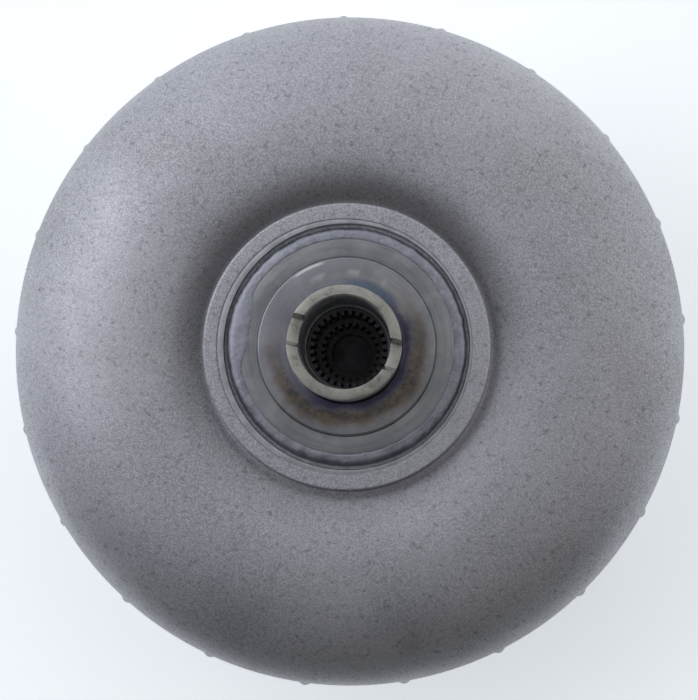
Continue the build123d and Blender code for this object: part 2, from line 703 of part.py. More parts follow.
for plate_name, plate_z in (("damper_front_plate", FRONT_PLATE_Z), ("damper_rear_plate", REAR_PLATE_Z)):
    with BuildPart() as damper_plate:
        with BuildSketch(Plane.XY.offset(plate_z)):
            Circle(PLATE_OUT_R)
            Circle(PLATE_IN_R, mode=Mode.SUBTRACT)
            with PolarLocations(SPRING_R, SPRING_COUNT):
                Rectangle(WINDOW_W, WINDOW_L, mode=Mode.SUBTRACT)
            with PolarLocations(POST_R, SPRING_COUNT, start_angle=BETWEEN):
                Circle(POST_SHANK_R, mode=Mode.SUBTRACT)
            with PolarLocations(TAB_R, SPRING_COUNT, start_angle=TAB_ANGLE):
                Rectangle(TAB_T + 2 * TAB_GAP, TAB_W + 2 * TAB_GAP, mode=Mode.SUBTRACT)
            with PolarLocations(TAB_R + TAB_T, SPRING_COUNT, start_angle=TAB_ANGLE):
                Rectangle(TAB_T + 2 * TAB_GAP, TAB_W + 2 * TAB_GAP, mode=Mode.SUBTRACT)
        extrude(amount=PLATE_T)
    damper_plate.part.label = plate_name
    export_step(damper_plate.part, f"parts/{plate_name}.step")

with BuildPart() as damper_posts:
    with BuildSketch(Plane.XY.offset(FRONT_PLATE_Z - PLATE_T)):
        with PolarLocations(POST_R, SPRING_COUNT, start_angle=BETWEEN):
            Circle(POST_HEAD_R)
    extrude(amount=PLATE_T)
    with BuildSketch(Plane.XY.offset(FRONT_PLATE_Z)):
        with PolarLocations(POST_R, SPRING_COUNT, start_angle=BETWEEN):
            Circle(POST_SHANK_R)
    extrude(amount=REAR_PLATE_Z + PLATE_T - FRONT_PLATE_Z)
    with BuildSketch(Plane.XY.offset(FRONT_PLATE_Z + PLATE_T)):
        with PolarLocations(POST_R, SPRING_COUNT, start_angle=BETWEEN):
            Circle(POST_HEAD_R)
    extrude(amount=REAR_PLATE_Z - FRONT_PLATE_Z - PLATE_T)
    with BuildSketch(Plane.XY.offset(REAR_PLATE_Z + PLATE_T)):
        with PolarLocations(POST_R, SPRING_COUNT, start_angle=BETWEEN):
            Circle(POST_HEAD_R)
    extrude(amount=PLATE_T)
damper_posts.part.label = "damper_posts"
export_step(damper_posts.part, "parts/damper_posts.step")

SPRING_PITCH = (SPRING_LENGTH - SPRING_WIRE) / SPRING_TURNS
with BuildPart() as damper_spring:
    with BuildLine() as coil_line:
        Helix(SPRING_PITCH, SPRING_LENGTH - SPRING_WIRE, (SPRING_OD - SPRING_WIRE) / 2)
    with BuildSketch(Plane(coil_line.line @ 0, z_dir=coil_line.line % 0)):
        Circle(SPRING_WIRE / 2)
    sweep(path=coil_line.line)

with BuildPart() as damper_springs:
    for count in range(SPRING_COUNT):
        turn = count * 360 / SPRING_COUNT
        seat = Plane.XY.rotated((0, 0, turn)).offset(SPRING_Z)
        lying = Location(seat) * Location((SPRING_R, (SPRING_LENGTH - SPRING_WIRE) / 2, 0), (90, 0, 0))
        add(damper_spring.part.moved(lying))
damper_springs.part.label = "damper_springs"
export_step(damper_springs.part, "parts/damper_springs.step")

# ======================= lock-up piston =======================
PISTON_Z = 29.3
PISTON_T = 3.2
PISTON_R = 134.0
PISTON_BORE_R = HUB_NOSE_R + 2 * SLACK
PISTON_SLEEVE_R = 28.0
PISTON_SLEEVE_TOP = 41.0
LINING_IN_R = 112.0
LINING_OUT_R = 133.0
LINING_T = 1.3
TAB_PROUD = 2.0            # how far the drive tabs stand through the front plate
with BuildPart() as lockup_piston:
    with BuildSketch(Plane.XZ):
        with BuildLine():
            Polyline(
                (PISTON_BORE_R, PISTON_Z),
                (PISTON_R, PISTON_Z),
                (PISTON_R, PISTON_Z + PISTON_T),
                (PISTON_SLEEVE_R, PISTON_Z + PISTON_T),
                (PISTON_SLEEVE_R, PISTON_SLEEVE_TOP),
                (PISTON_BORE_R, PISTON_SLEEVE_TOP),
                close=True,
            )
        make_face()
    revolve(axis=Axis.Z)
    with BuildSketch(Plane.XY.offset(PISTON_Z + PISTON_T)):
        with PolarLocations(TAB_R, SPRING_COUNT, start_angle=TAB_ANGLE):
            Rectangle(TAB_T, TAB_W)
    extrude(amount=FRONT_PLATE_Z + PLATE_T + TAB_PROUD - PISTON_Z - PISTON_T)
lockup_piston.part.label = "lockup_piston"
export_step(lockup_piston.part, "parts/lockup_piston.step")

with BuildPart() as friction_lining:
    with BuildSketch(Plane.XY.offset(PISTON_Z - LINING_T)):
        Circle(LINING_OUT_R)
        Circle(LINING_IN_R, mode=Mode.SUBTRACT)
    extrude(amount=LINING_T)
friction_lining.part.label = "friction_lining"
export_step(friction_lining.part, "parts/friction_lining.step")

# ======================= stator and one-way clutch =======================
STATOR_HUB_IN_R = 36.0
STATOR_HUB_OUT_R = 46.0
VANE_TIP_R = 64.0
SHROUD_R = 65.4
NOSE_R = 3.2
TAIL_R = 0.7
VANE_LEAN = 8.0
VANE_SINK = 1.2            # how far a vane runs into the hub
VANE_PAST = 0.3            # and into the shroud
NOSE_RISE = 4.0
TAIL_DROP = 2.0
CAM_IN_R = 28.6
RACE_R = 24.0
ROLLER_R = 4.0
CLUTCH_BOTTOM = 74.0
CLUTCH_TOP = 95.0
CAP_IN_R = RACE_R + 0.3    # running gap round the inner race
RACE_BOTTOM = 67.0
RACE_TOP = 102.0
RACE_MINOR_R = 15.2
RACE_MAJOR_R = 16.8
RACE_TEETH = 30

with BuildPart() as stator_vane:
    with BuildSketch(Plane.YZ.offset(STATOR_HUB_OUT_R - VANE_SINK)):
        with Locations((-VANE_LEAN / 2, STATOR_BOTTOM + NOSE_RISE)):
            Circle(NOSE_R)
        with Locations((VANE_LEAN / 2, STATOR_TOP - TAIL_DROP)):
            Circle(TAIL_R)
        make_hull()
    extrude(amount=VANE_TIP_R - STATOR_HUB_OUT_R + VANE_SINK + VANE_PAST)

with BuildPart() as stator_wheel:
    with BuildSketch(Plane.XY.offset(STATOR_BOTTOM)):
        Circle(SHROUD_R)
        Circle(VANE_TIP_R, mode=Mode.SUBTRACT)
        Circle(STATOR_HUB_OUT_R)
        Circle(STATOR_HUB_IN_R, mode=Mode.SUBTRACT)
    extrude(amount=STATOR_TOP - STATOR_BOTTOM)
    with PolarLocations(0, STATOR_BLADES):
        add(stator_vane.part)
stator_wheel.part.label = "stator_wheel"
export_step(stator_wheel.part, "parts/stator_wheel.step")

ROLLER_PITCH_R = RACE_R + ROLLER_R + SLACK
CAM_POCKET_R = ROLLER_R + 2 * SLACK
SPRING_POCKET = 6.5
POCKET_W = 5.0
POCKET_SHIFT = 0.6         # the pocket's middle sits a little outside the rollers' circle
with BuildPart() as clutch_cam:
    with BuildSketch(Plane.XY.offset(CLUTCH_BOTTOM)):
        Circle(STATOR_HUB_IN_R)
        Circle(CAM_IN_R, mode=Mode.SUBTRACT)
        with PolarLocations(ROLLER_PITCH_R, ROLLER_COUNT):
            Circle(CAM_POCKET_R, mode=Mode.SUBTRACT)
            with Locations((POCKET_SHIFT, SPRING_POCKET)):
                Rectangle(POCKET_W, SPRING_POCKET, mode=Mode.SUBTRACT)
    extrude(amount=CLUTCH_TOP - CLUTCH_BOTTOM)
clutch_cam.part.label = "clutch_cam"
export_step(clutch_cam.part, "parts/clutch_cam.step")

LEAF_T = 0.4
LEAF_W = 12.0
LEAF_FOLDS = 4
LEAF_PITCH = 1.2           # from one fold to the next
LEAF_REACH = 3.6           # width of the folded strip
LEAF_SHIFT = 0.8
LEAF_START = ROLLER_R + 0.7
web_reach = (LEAF_REACH - LEAF_T) / 2
with BuildPart() as roller_springs:
    with BuildSketch(Plane.XY.offset((CLUTCH_BOTTOM + CLUTCH_TOP - LEAF_W) / 2)):
        with PolarLocations(ROLLER_PITCH_R, ROLLER_COUNT):
            for fold in range(LEAF_FOLDS):
                with Locations((LEAF_SHIFT, LEAF_START + fold * LEAF_PITCH)):
                    Rectangle(LEAF_REACH, LEAF_T)
            for fold in range(LEAF_FOLDS - 1):
                side = 1 - 2 * (fold % 2)
                with Locations((LEAF_SHIFT + side * web_reach, LEAF_START + (fold + 0.5) * LEAF_PITCH)):
                    Rectangle(LEAF_T, LEAF_PITCH + LEAF_T)
    extrude(amount=LEAF_W)
roller_springs.part.label = "roller_springs"
export_step(roller_springs.part, "parts/roller_springs.step")

ROLLER_END_GAP = 0.2
ROLLER_CHAMFER = 0.4
for count in range(ROLLER_COUNT):
    roller_name = f"clutch_roller_{count + 1}"
    with BuildPart() as clutch_roller:
        with BuildSketch(Plane.XY.offset(CLUTCH_BOTTOM + ROLLER_END_GAP)):
            with Locations(polar(ROLLER_PITCH_R, count * 360 / ROLLER_COUNT)):
                Circle(ROLLER_R)
        extrude(amount=CLUTCH_TOP - CLUTCH_BOTTOM - 2 * ROLLER_END_GAP)
        chamfer(clutch_roller.edges().filter_by(GeomType.CIRCLE), ROLLER_CHAMFER)
    clutch_roller.part.label = roller_name
    export_step(clutch_roller.part, f"parts/{roller_name}.step")

needle_room = 2 * NEEDLE_R + 2 * FACE_GAP
front_cap_bottom = TURBINE_HUB_TOP + 2 * WASHER_T + needle_room
rear_cap_top = HUB_BOTTOM - 2 * WASHER_T - needle_room
for cap_name, cap_bottom, cap_top in (
    ("stator_front_cap", front_cap_bottom, CLUTCH_BOTTOM),
    ("stator_rear_cap", CLUTCH_TOP, rear_cap_top),
):
    with BuildPart() as stator_cap:
        with BuildSketch(Plane.XY.offset(cap_bottom)):
            Circle(STATOR_HUB_IN_R)
            Circle(CAP_IN_R, mode=Mode.SUBTRACT)
        extrude(amount=cap_top - cap_bottom)
    stator_cap.part.label = cap_name
    export_step(stator_cap.part, f"parts/{cap_name}.step")

with BuildPart() as stator_race:
    with BuildSketch(Plane.XY.offset(RACE_BOTTOM)):
        Circle(RACE_R)
        add(spline_sketch(RACE_MINOR_R, RACE_MAJOR_R, RACE_TEETH), mode=Mode.SUBTRACT)
    extrude(amount=RACE_TOP - RACE_BOTTOM)
stator_race.part.label = "stator_race"
export_step(stator_race.part, "parts/stator_race.step")

# ======================= needle thrust bearings =======================
CAGE_T = 2.0
CAGE_EDGE = 0.5            # the cage is this much narrower than the washers at each edge
NEEDLE_SHORT = 5.0         # a needle is this much shorter than the washer is wide
POCKET_END = 0.2
POCKET_SIDE = 0.1


def washer(name, bottom_z, in_r, out_r):
    """Flat hardened washer that the needles roll on."""
    with BuildPart() as race:
        with BuildSketch(Plane.XY.offset(bottom_z)):
            Circle(out_r)
            Circle(in_r, mode=Mode.SUBTRACT)
        extrude(amount=WASHER_T)
    race.part.label = name
    export_step(race.part, f"parts/{name}.step")


def needle_set(side, middle_z, in_r, out_r):
    """Radial needles and the flat cage that spaces them."""
    pitch_r = (in_r + out_r) / 2
    length = out_r - in_r - NEEDLE_SHORT
    with BuildPart() as needle:
        with BuildSketch(Plane.YZ.offset(pitch_r - length / 2)):
            with Locations((0, middle_z)):
                Circle(NEEDLE_R)
        extrude(amount=length)
    with BuildPart() as needles:
        with PolarLocations(0, NEEDLE_COUNT):
            add(needle.part)
    needles.part.label = f"{side}_bearing_needles"
    export_step(needles.part, f"parts/{side}_bearing_needles.step")
    with BuildPart() as cage:
        with BuildSketch(Plane.XY.offset(middle_z - CAGE_T / 2)):
            Circle(out_r - CAGE_EDGE)
            Circle(in_r + CAGE_EDGE, mode=Mode.SUBTRACT)
            with PolarLocations(pitch_r, NEEDLE_COUNT):
                Rectangle(length + POCKET_END, 2 * NEEDLE_R + POCKET_SIDE, mode=Mode.SUBTRACT)
        extrude(amount=CAGE_T)
    cage.part.label = f"{side}_bearing_cage"
    export_step(cage.part, f"parts/{side}_bearing_cage.step")


REAR_IN_R = 27.0
REAR_OUT_R = 40.0
FRONT_IN_R = 17.5
FRONT_OUT_R = 31.5
washer("rear_bearing_hub_race", HUB_BOTTOM - WASHER_T, REAR_IN_R, REAR_OUT_R)
washer("rear_bearing_stator_race", HUB_BOTTOM - 2 * WASHER_T - needle_room, REAR_IN_R, REAR_OUT_R)
needle_set("rear", HUB_BOTTOM - WASHER_T - needle_room / 2, REAR_IN_R, REAR_OUT_R)
washer("front_bearing_turbine_race", TURBINE_HUB_TOP, FRONT_IN_R, FRONT_OUT_R)
washer("front_bearing_stator_race", TURBINE_HUB_TOP + WASHER_T + needle_room, FRONT_IN_R, FRONT_OUT_R)
needle_set("front", TURBINE_HUB_TOP + WASHER_T + needle_room / 2, FRONT_IN_R, FRONT_OUT_R)
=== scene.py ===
import json
from math import acos, cos, exp, hypot, pi, radians, sin

import bpy
from mathutils import Matrix, Vector, noise

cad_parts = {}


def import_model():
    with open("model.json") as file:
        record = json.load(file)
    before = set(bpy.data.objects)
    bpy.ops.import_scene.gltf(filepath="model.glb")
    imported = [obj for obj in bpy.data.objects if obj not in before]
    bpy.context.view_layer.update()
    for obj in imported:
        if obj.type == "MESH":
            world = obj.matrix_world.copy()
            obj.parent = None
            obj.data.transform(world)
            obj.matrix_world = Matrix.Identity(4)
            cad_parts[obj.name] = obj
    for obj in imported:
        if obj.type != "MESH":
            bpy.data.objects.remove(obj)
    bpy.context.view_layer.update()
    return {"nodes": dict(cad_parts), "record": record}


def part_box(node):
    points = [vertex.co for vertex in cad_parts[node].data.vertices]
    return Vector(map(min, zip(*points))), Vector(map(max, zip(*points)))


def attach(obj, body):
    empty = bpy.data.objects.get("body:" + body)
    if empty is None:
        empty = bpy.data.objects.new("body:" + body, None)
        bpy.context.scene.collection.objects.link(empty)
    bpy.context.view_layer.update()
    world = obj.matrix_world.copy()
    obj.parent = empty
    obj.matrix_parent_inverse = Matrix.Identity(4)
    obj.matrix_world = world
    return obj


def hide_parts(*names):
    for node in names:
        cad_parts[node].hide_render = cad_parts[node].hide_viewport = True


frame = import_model()

# ---- sizes in metres, from the frame ----
MM = 0.001
shell_low, shell_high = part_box("impeller_shell")
hub_low, hub_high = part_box("pump_hub")
flange_low, flange_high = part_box("hub_flange")
weld_low, weld_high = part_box("hub_weld")
seam_low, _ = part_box("girth_weld")
cover_low, cover_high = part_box("front_cover")
_, pilot_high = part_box("crank_pilot")
_, lug_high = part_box("drive_lugs")

# ---- impeller shell ----
SHELL_R = 149.0 * MM        # without its dimples
TORUS_R = 90.0 * MM         # centre circle of the torus
SHELL_CENTRE_Z = 90.0 * MM
SHELL_RISE = 38.0 * MM
SHELL_T = 4.5 * MM
DIMPLES = 21
DIMPLE_PHASE = radians(2.6)
DIMPLE_Z = 87.0 * MM
COLLAR_R = 61.6 * MM
COLLAR_TOP = shell_high.z
COLLAR_ROUND = 1.1 * MM
LAND_OUT_R = 54.8 * MM      # machined land inside the collar, cut a little off centre
LAND_SHIFT = 1.0 * MM
LAND_DROP = 0.55 * MM
LIP_R = 52.7 * MM
SEAT_R = flange_high.x      # where the hub's flange sits in the shell
LEDGE_Z = weld_low.z
BORE_Z = 119.5 * MM
FLOOR_R = 57.0 * MM
INNER_R = 60.0 * MM
FOOT_R = 63.4 * MM
RIM_END = shell_low.z

# ---- hub ----
HUB_R = hub_high.x
HUB_TOP = hub_high.z
BORE_R = 19.05 * MM
BORE_LEDGE_R = 17.9 * MM
BORE_LEDGE_Z = hub_low.z + 10 * MM
DISC_R = 37.7 * MM
HUB_FILLET = 1.5 * MM
DISC_TOP = flange_high.z - HUB_FILLET
RING_TOP = DISC_TOP - 1.0 * MM
BOSS_R = 42.0 * MM
BOSS_Z = 117.5 * MM
SLOT_FLOOR_W = 9.6 * MM
SLOT_TOP_W = 13.9 * MM
SLOT_FLOOR_Z = HUB_TOP - 9.0 * MM
WELD_OUT_R = weld_high.x - 0.5 * MM

# ---- drive lugs ----
LUG_COUNT = 3
LUG_R = 136.5 * MM          # half of the drive pads' bolt circle
LUG_RADIAL = 21.0 * MM
LUG_WIDE = 34.0 * MM
LUG_BEAD_RUN = 11.0 * MM    # how far the bead follows a pad's side
cover_face_z = lug_high.z - 13.0 * MM

# ---- picture directions on the object ----
ROLL = radians(14.5)        # the hub slots' direction in the picture
right = Vector((cos(ROLL), sin(ROLL), 0))
up = Vector((-sin(ROLL), cos(ROLL), 0))
WELD_BLOB = pi + radians(4.5)   # where the bead runs wide over the hub's flange

# ---- floor, light and camera ----
FLOOR_SIZE = 3.0
FLOOR_Z = -0.2 * MM         # clear of the pilot's end face
FLOOR_FAR = 0.2             # how pale the far floor is against the near one
FLOOR_DARK_END = -0.45      # metres along the picture's up direction
FLOOR_PALE_START = -0.175
FLOOR_GLOW = 0.45
FLOOR_COLOUR = (0.90, 0.96, 1.0, 1)
KEY_SIDE = (up * 0.4 - right * 0.9).normalized()
KEY_POWER = 4.5
KEY_SIZE = 1.2
KEY_COLOUR = (0.97, 0.98, 1.0)
FILL_POWER = 0.8
FILL_SIZE = 0.8
FILL_COLOUR = (0.80, 0.87, 1.0)
SKY_LEVEL = 0.76
SKY_SWING = 0.10
SHADE_FULL = -0.75          # the studio falls off towards the bottom of the picture
SHADE_END = 0.15
SHADE_LEVEL = 0.04
OVERHEAD_DIP = 0.6
TILT = radians(2.5)
DISTANCE = 1.0
FOCAL = 115.2
SENSOR = 36.0
aim = Vector((0, 0, SHELL_CENTRE_Z))


# ---------------------------------------------------------------- mesh helpers
def add_piece(name, mesh, body, materials, replaced=()):
    """Adds a mesh as a smooth-shaded object that rides on a CAD body."""
    mesh.name = name
    mesh.materials.clear()
    for material in materials:
        mesh.materials.append(material)
    mesh.shade_smooth()
    piece = bpy.data.objects.new(name, mesh)
    bpy.context.scene.collection.objects.link(piece)
    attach(piece, body)
    if replaced:
        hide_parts(*replaced)
    return piece


def new_piece(name, verts, faces, body, materials, replaced=()):
    """Makes a piece from vertices and faces."""
    mesh = bpy.data.meshes.new(name)
    mesh.from_pydata(verts, [], faces)
    mesh.update()
    return add_piece(name, mesh, body, materials, replaced)


def even_angles(steps):
    """Angles evenly spaced round a full turn."""
    return [2 * pi * step / steps for step in range(steps)]


def lathe(profile, angles, shift=None):
    """Vertices and faces of a closed profile of (radius, height) points turned about Z.
    shift(r, z, angle, index) gives a new (radius, height) for a point."""
    verts = []
    for angle in angles:
        for index, (r, z) in enumerate(profile):
            if shift:
                r, z = shift(r, z, angle, index)
            verts.append((r * cos(angle), r * sin(angle), z))
    count = len(profile)
    faces = []
    for step in range(len(angles)):
        here = step * count
        there = (step + 1) % len(angles) * count
        for index in range(count):
            nxt = (index + 1) % count
            faces.append((here + index, there + index, there + nxt, here + nxt))
    return verts, faces


def ellipse_arc(centre_r, centre_z, reach, rise, start, end, count):
    """Points of an elliptical arc between two parameter angles."""
    points = []
    for index in range(count):
        turn = start + (end - start) * index / (count - 1)
        points.append((centre_r + reach * cos(turn), centre_z + rise * sin(turn)))
    return points


def line(start, end, count):
    """Points from start up to, and without, end."""
    return [
        (start[0] + (end[0] - start[0]) * i / count, start[1] + (end[1] - start[1]) * i / count)
        for i in range(count)
    ]


# ---------------------------------------------------------------- node helpers
class Nodes:
    """Short forms for building a procedural material."""

    def __init__(self, name):
        self.material = bpy.data.materials.new(name)
        self.material.use_nodes = True
        self.tree = self.material.node_tree
        self.tree.nodes.clear()
        self.shader = self.tree.nodes.new("ShaderNodeBsdfPrincipled")
        output = self.tree.nodes.new("ShaderNodeOutputMaterial")
        self.join(self.shader.outputs["BSDF"], output.inputs["Surface"])
        self.place = self.tree.nodes.new("ShaderNodeTexCoord").outputs["Object"]

    def join(self, source, target):
        self.tree.links.new(source, target)

    def feed(self, socket, value):
        if isinstance(value, (int, float)):
            socket.default_value = value
        elif isinstance(value, tuple):
            socket.default_value = value if len(value) == len(socket.default_value) else (*value, 1)
        else:
            self.join(value, socket)

    def math(self, kind, first, second=0.0, third=0.0):
        node = self.tree.nodes.new("ShaderNodeMath")
        node.operation = kind
        for socket, value in zip(node.inputs, (first, second, third)):
            self.feed(socket, value)
        return node.outputs[0]

    def noise(self, scale, detail=3.0, rough=0.55, place=None, distort=0.0):
        node = self.tree.nodes.new("ShaderNodeTexNoise")
        self.join(place or self.place, node.inputs["Vector"])
        node.inputs["Scale"].default_value = scale
        node.inputs["Detail"].default_value = detail
        node.inputs["Roughness"].default_value = rough
        node.inputs["Distortion"].default_value = distort
        return node.outputs["Fac"]

    def spots(self, scale):
        node = self.tree.nodes.new("ShaderNodeTexVoronoi")
        self.join(self.place, node.inputs["Vector"])
        node.inputs["Scale"].default_value = scale
        return node.outputs["Distance"]

    def span(self, value, low, high, to_low=0.0, to_high=1.0):
        node = self.tree.nodes.new("ShaderNodeMapRange")
        node.interpolation_type = "SMOOTHSTEP"
        for socket, number in zip(node.inputs, (value, low, high, to_low, to_high)):
            self.feed(socket, number)
        return node.outputs[0]

    def mix(self, share, first, second):
        node = self.tree.nodes.new("ShaderNodeMix")
        node.data_type = "RGBA"
        self.feed(node.inputs[0], share)
        self.feed(node.inputs[6], first)
        self.feed(node.inputs[7], second)
        return node.outputs[2]

    def bump(self, height, depth, strength=1.0, below=None):
        node = self.tree.nodes.new("ShaderNodeBump")
        node.inputs["Strength"].default_value = strength
        node.inputs["Distance"].default_value = depth
        self.join(height, node.inputs["Height"])
        if below:
            self.join(below, node.inputs["Normal"])
        return node.outputs[0]

    def polar(self):
        """Radius from the axis, angle round it, and height."""
        split = self.tree.nodes.new("ShaderNodeSeparateXYZ")
        self.join(self.place, split.inputs[0])
        x, y, z = split.outputs
        radius = self.math("SQRT", self.math("ADD", self.math("MULTIPLY", x, x), self.math("MULTIPLY", y, y)))
        return radius, self.math("ARCTAN2", y, x), z

    def point(self, x, y, z):
        join = self.tree.nodes.new("ShaderNodeCombineXYZ")
        for socket, value in zip(join.inputs, (x, y, z)):
            self.feed(socket, value)
        return join.outputs[0]

    def finish(self, colour, metallic, rough, normal=None):
        self.feed(self.shader.inputs["Base Color"], colour)
        self.shader.inputs["Metallic"].default_value = metallic
        self.feed(self.shader.inputs["Roughness"], rough)
        if normal:
            self.join(normal, self.shader.inputs["Normal"])
        return self.material


# ---------------------------------------------------------------- materials
def facing(n, angle, picture_angle, low, high):
    """1 where the angle round the axis lies near a picture direction in degrees, 0 away from it."""
    away = n.math("COSINE", n.math("SUBTRACT", angle, ROLL + radians(picture_angle)))
    return n.span(away, low, high)


def ring_mask(n, radius, low, full, full_end, high):
    """1 between two radii in millimetres, with soft edges."""
    inner = n.span(radius, low * MM, full * MM)
    return n.math("MULTIPLY", inner, n.span(radius, full_end * MM, high * MM, 1.0, 0.0))


def blasted_steel():
    """Bare steel cleaned with grit: speckled, faintly stained and pitted, with painted shade darkening the
    collar's foot.
    """
    n = Nodes("blasted_steel")
    radius, angle, height = n.polar()
    clouds = n.noise(9, 4, 0.6)
    stains = n.noise(26, 5, 0.65, distort=0.4)
    grain = n.noise(1300, 2, 0.7)
    coarse = n.noise(420, 3, 0.6)
    fine = n.noise(3000, 2, 0.6)
    base = n.mix(n.span(clouds, 0.35, 0.68), (0.375, 0.374, 0.408), (0.475, 0.473, 0.505))
    base = n.mix(n.math("MULTIPLY", n.span(stains, 0.48, 0.78), 0.42), base, (0.345, 0.33, 0.30))
    base = n.mix(n.math("MULTIPLY", n.span(grain, 0.38, 0.66), 0.75), base, (0.66, 0.655, 0.68))
    base = n.mix(n.math("MULTIPLY", n.span(coarse, 0.47, 0.25), 0.6), base, (0.20, 0.195, 0.215))
    pits = n.span(n.spots(150), 0.0, 0.07, 1.0, 0.0)
    pit = n.math("MULTIPLY", pits, n.span(n.noise(60, 1), 0.60, 0.64))
    base = n.mix(n.math("MULTIPLY", pit, 0.8), base, (0.10, 0.09, 0.09))
    # painted shade: a near-black ring round the collar's foot, below its top and outside the bore, strongest
    # towards the picture's top
    uneven = n.math("MULTIPLY_ADD", clouds, 0.010, -0.005)
    foot = ring_mask(n, n.math("ADD", radius, uneven), 61.0, 62.0, 66.0, 84.0)
    below_collar = n.span(height, COLLAR_TOP - 0.5 * MM, COLLAR_TOP - 3 * MM, 0.0, 1.0)
    outside = n.span(height, BORE_Z - 8 * MM, BORE_Z - 2 * MM)
    strong = n.math("MULTIPLY_ADD", facing(n, angle, 100, -0.9, 0.9), 0.55, 0.15)
    shade = n.math("MULTIPLY", n.math("MULTIPLY", foot, below_collar), n.math("MULTIPLY", outside, strong))
    base = n.mix(shade, base, (0.045, 0.042, 0.042))
    rough = n.span(stains, 0.3, 0.7, 0.5, 0.62)
    normal = n.bump(grain, 0.00010, 0.9)
    normal = n.bump(coarse, 0.00016, 0.5, normal)
    normal = n.bump(fine, 0.00003, 0.7, normal)
    normal = n.bump(n.math("SUBTRACT", 1.0, pit), 0.0003, 0.7, normal)
    return n.finish(base, 0.85, rough, normal)


def machined_land():
    """The bright cut land inside the collar."""
    n = Nodes("machined_land")
    radius, _, height = n.polar()
    fine, coarse = turned_rings(n, radius, height)
    clouds = n.noise(130, 4, 0.6)
    base = n.mix(n.span(clouds, 0.35, 0.65), (0.43, 0.43, 0.45), (0.54, 0.54, 0.57))
    grain = n.span(n.noise(1300, 2, 0.7), 0.45, 0.7)
    base = n.mix(n.math("MULTIPLY", grain, 0.2), base, (0.35, 0.35, 0.37))
    rough = n.span(clouds, 0.3, 0.7, 0.38, 0.5)
    return n.finish(base, 0.9, rough, n.bump(coarse, 0.00005, 0.5, n.bump(fine, 0.00003, 0.8)))


def turned_rings(n, radius, height):
    """Fine and coarse tool rings of a lathe cut."""
    def rings(per_metre, rough):
        place = n.point(n.math("MULTIPLY", radius, per_metre), n.math("MULTIPLY", height, per_metre), 0.0)
        return n.noise(1.0, 2, rough, place)

    return rings(2600, 0.6), rings(600, 0.5)


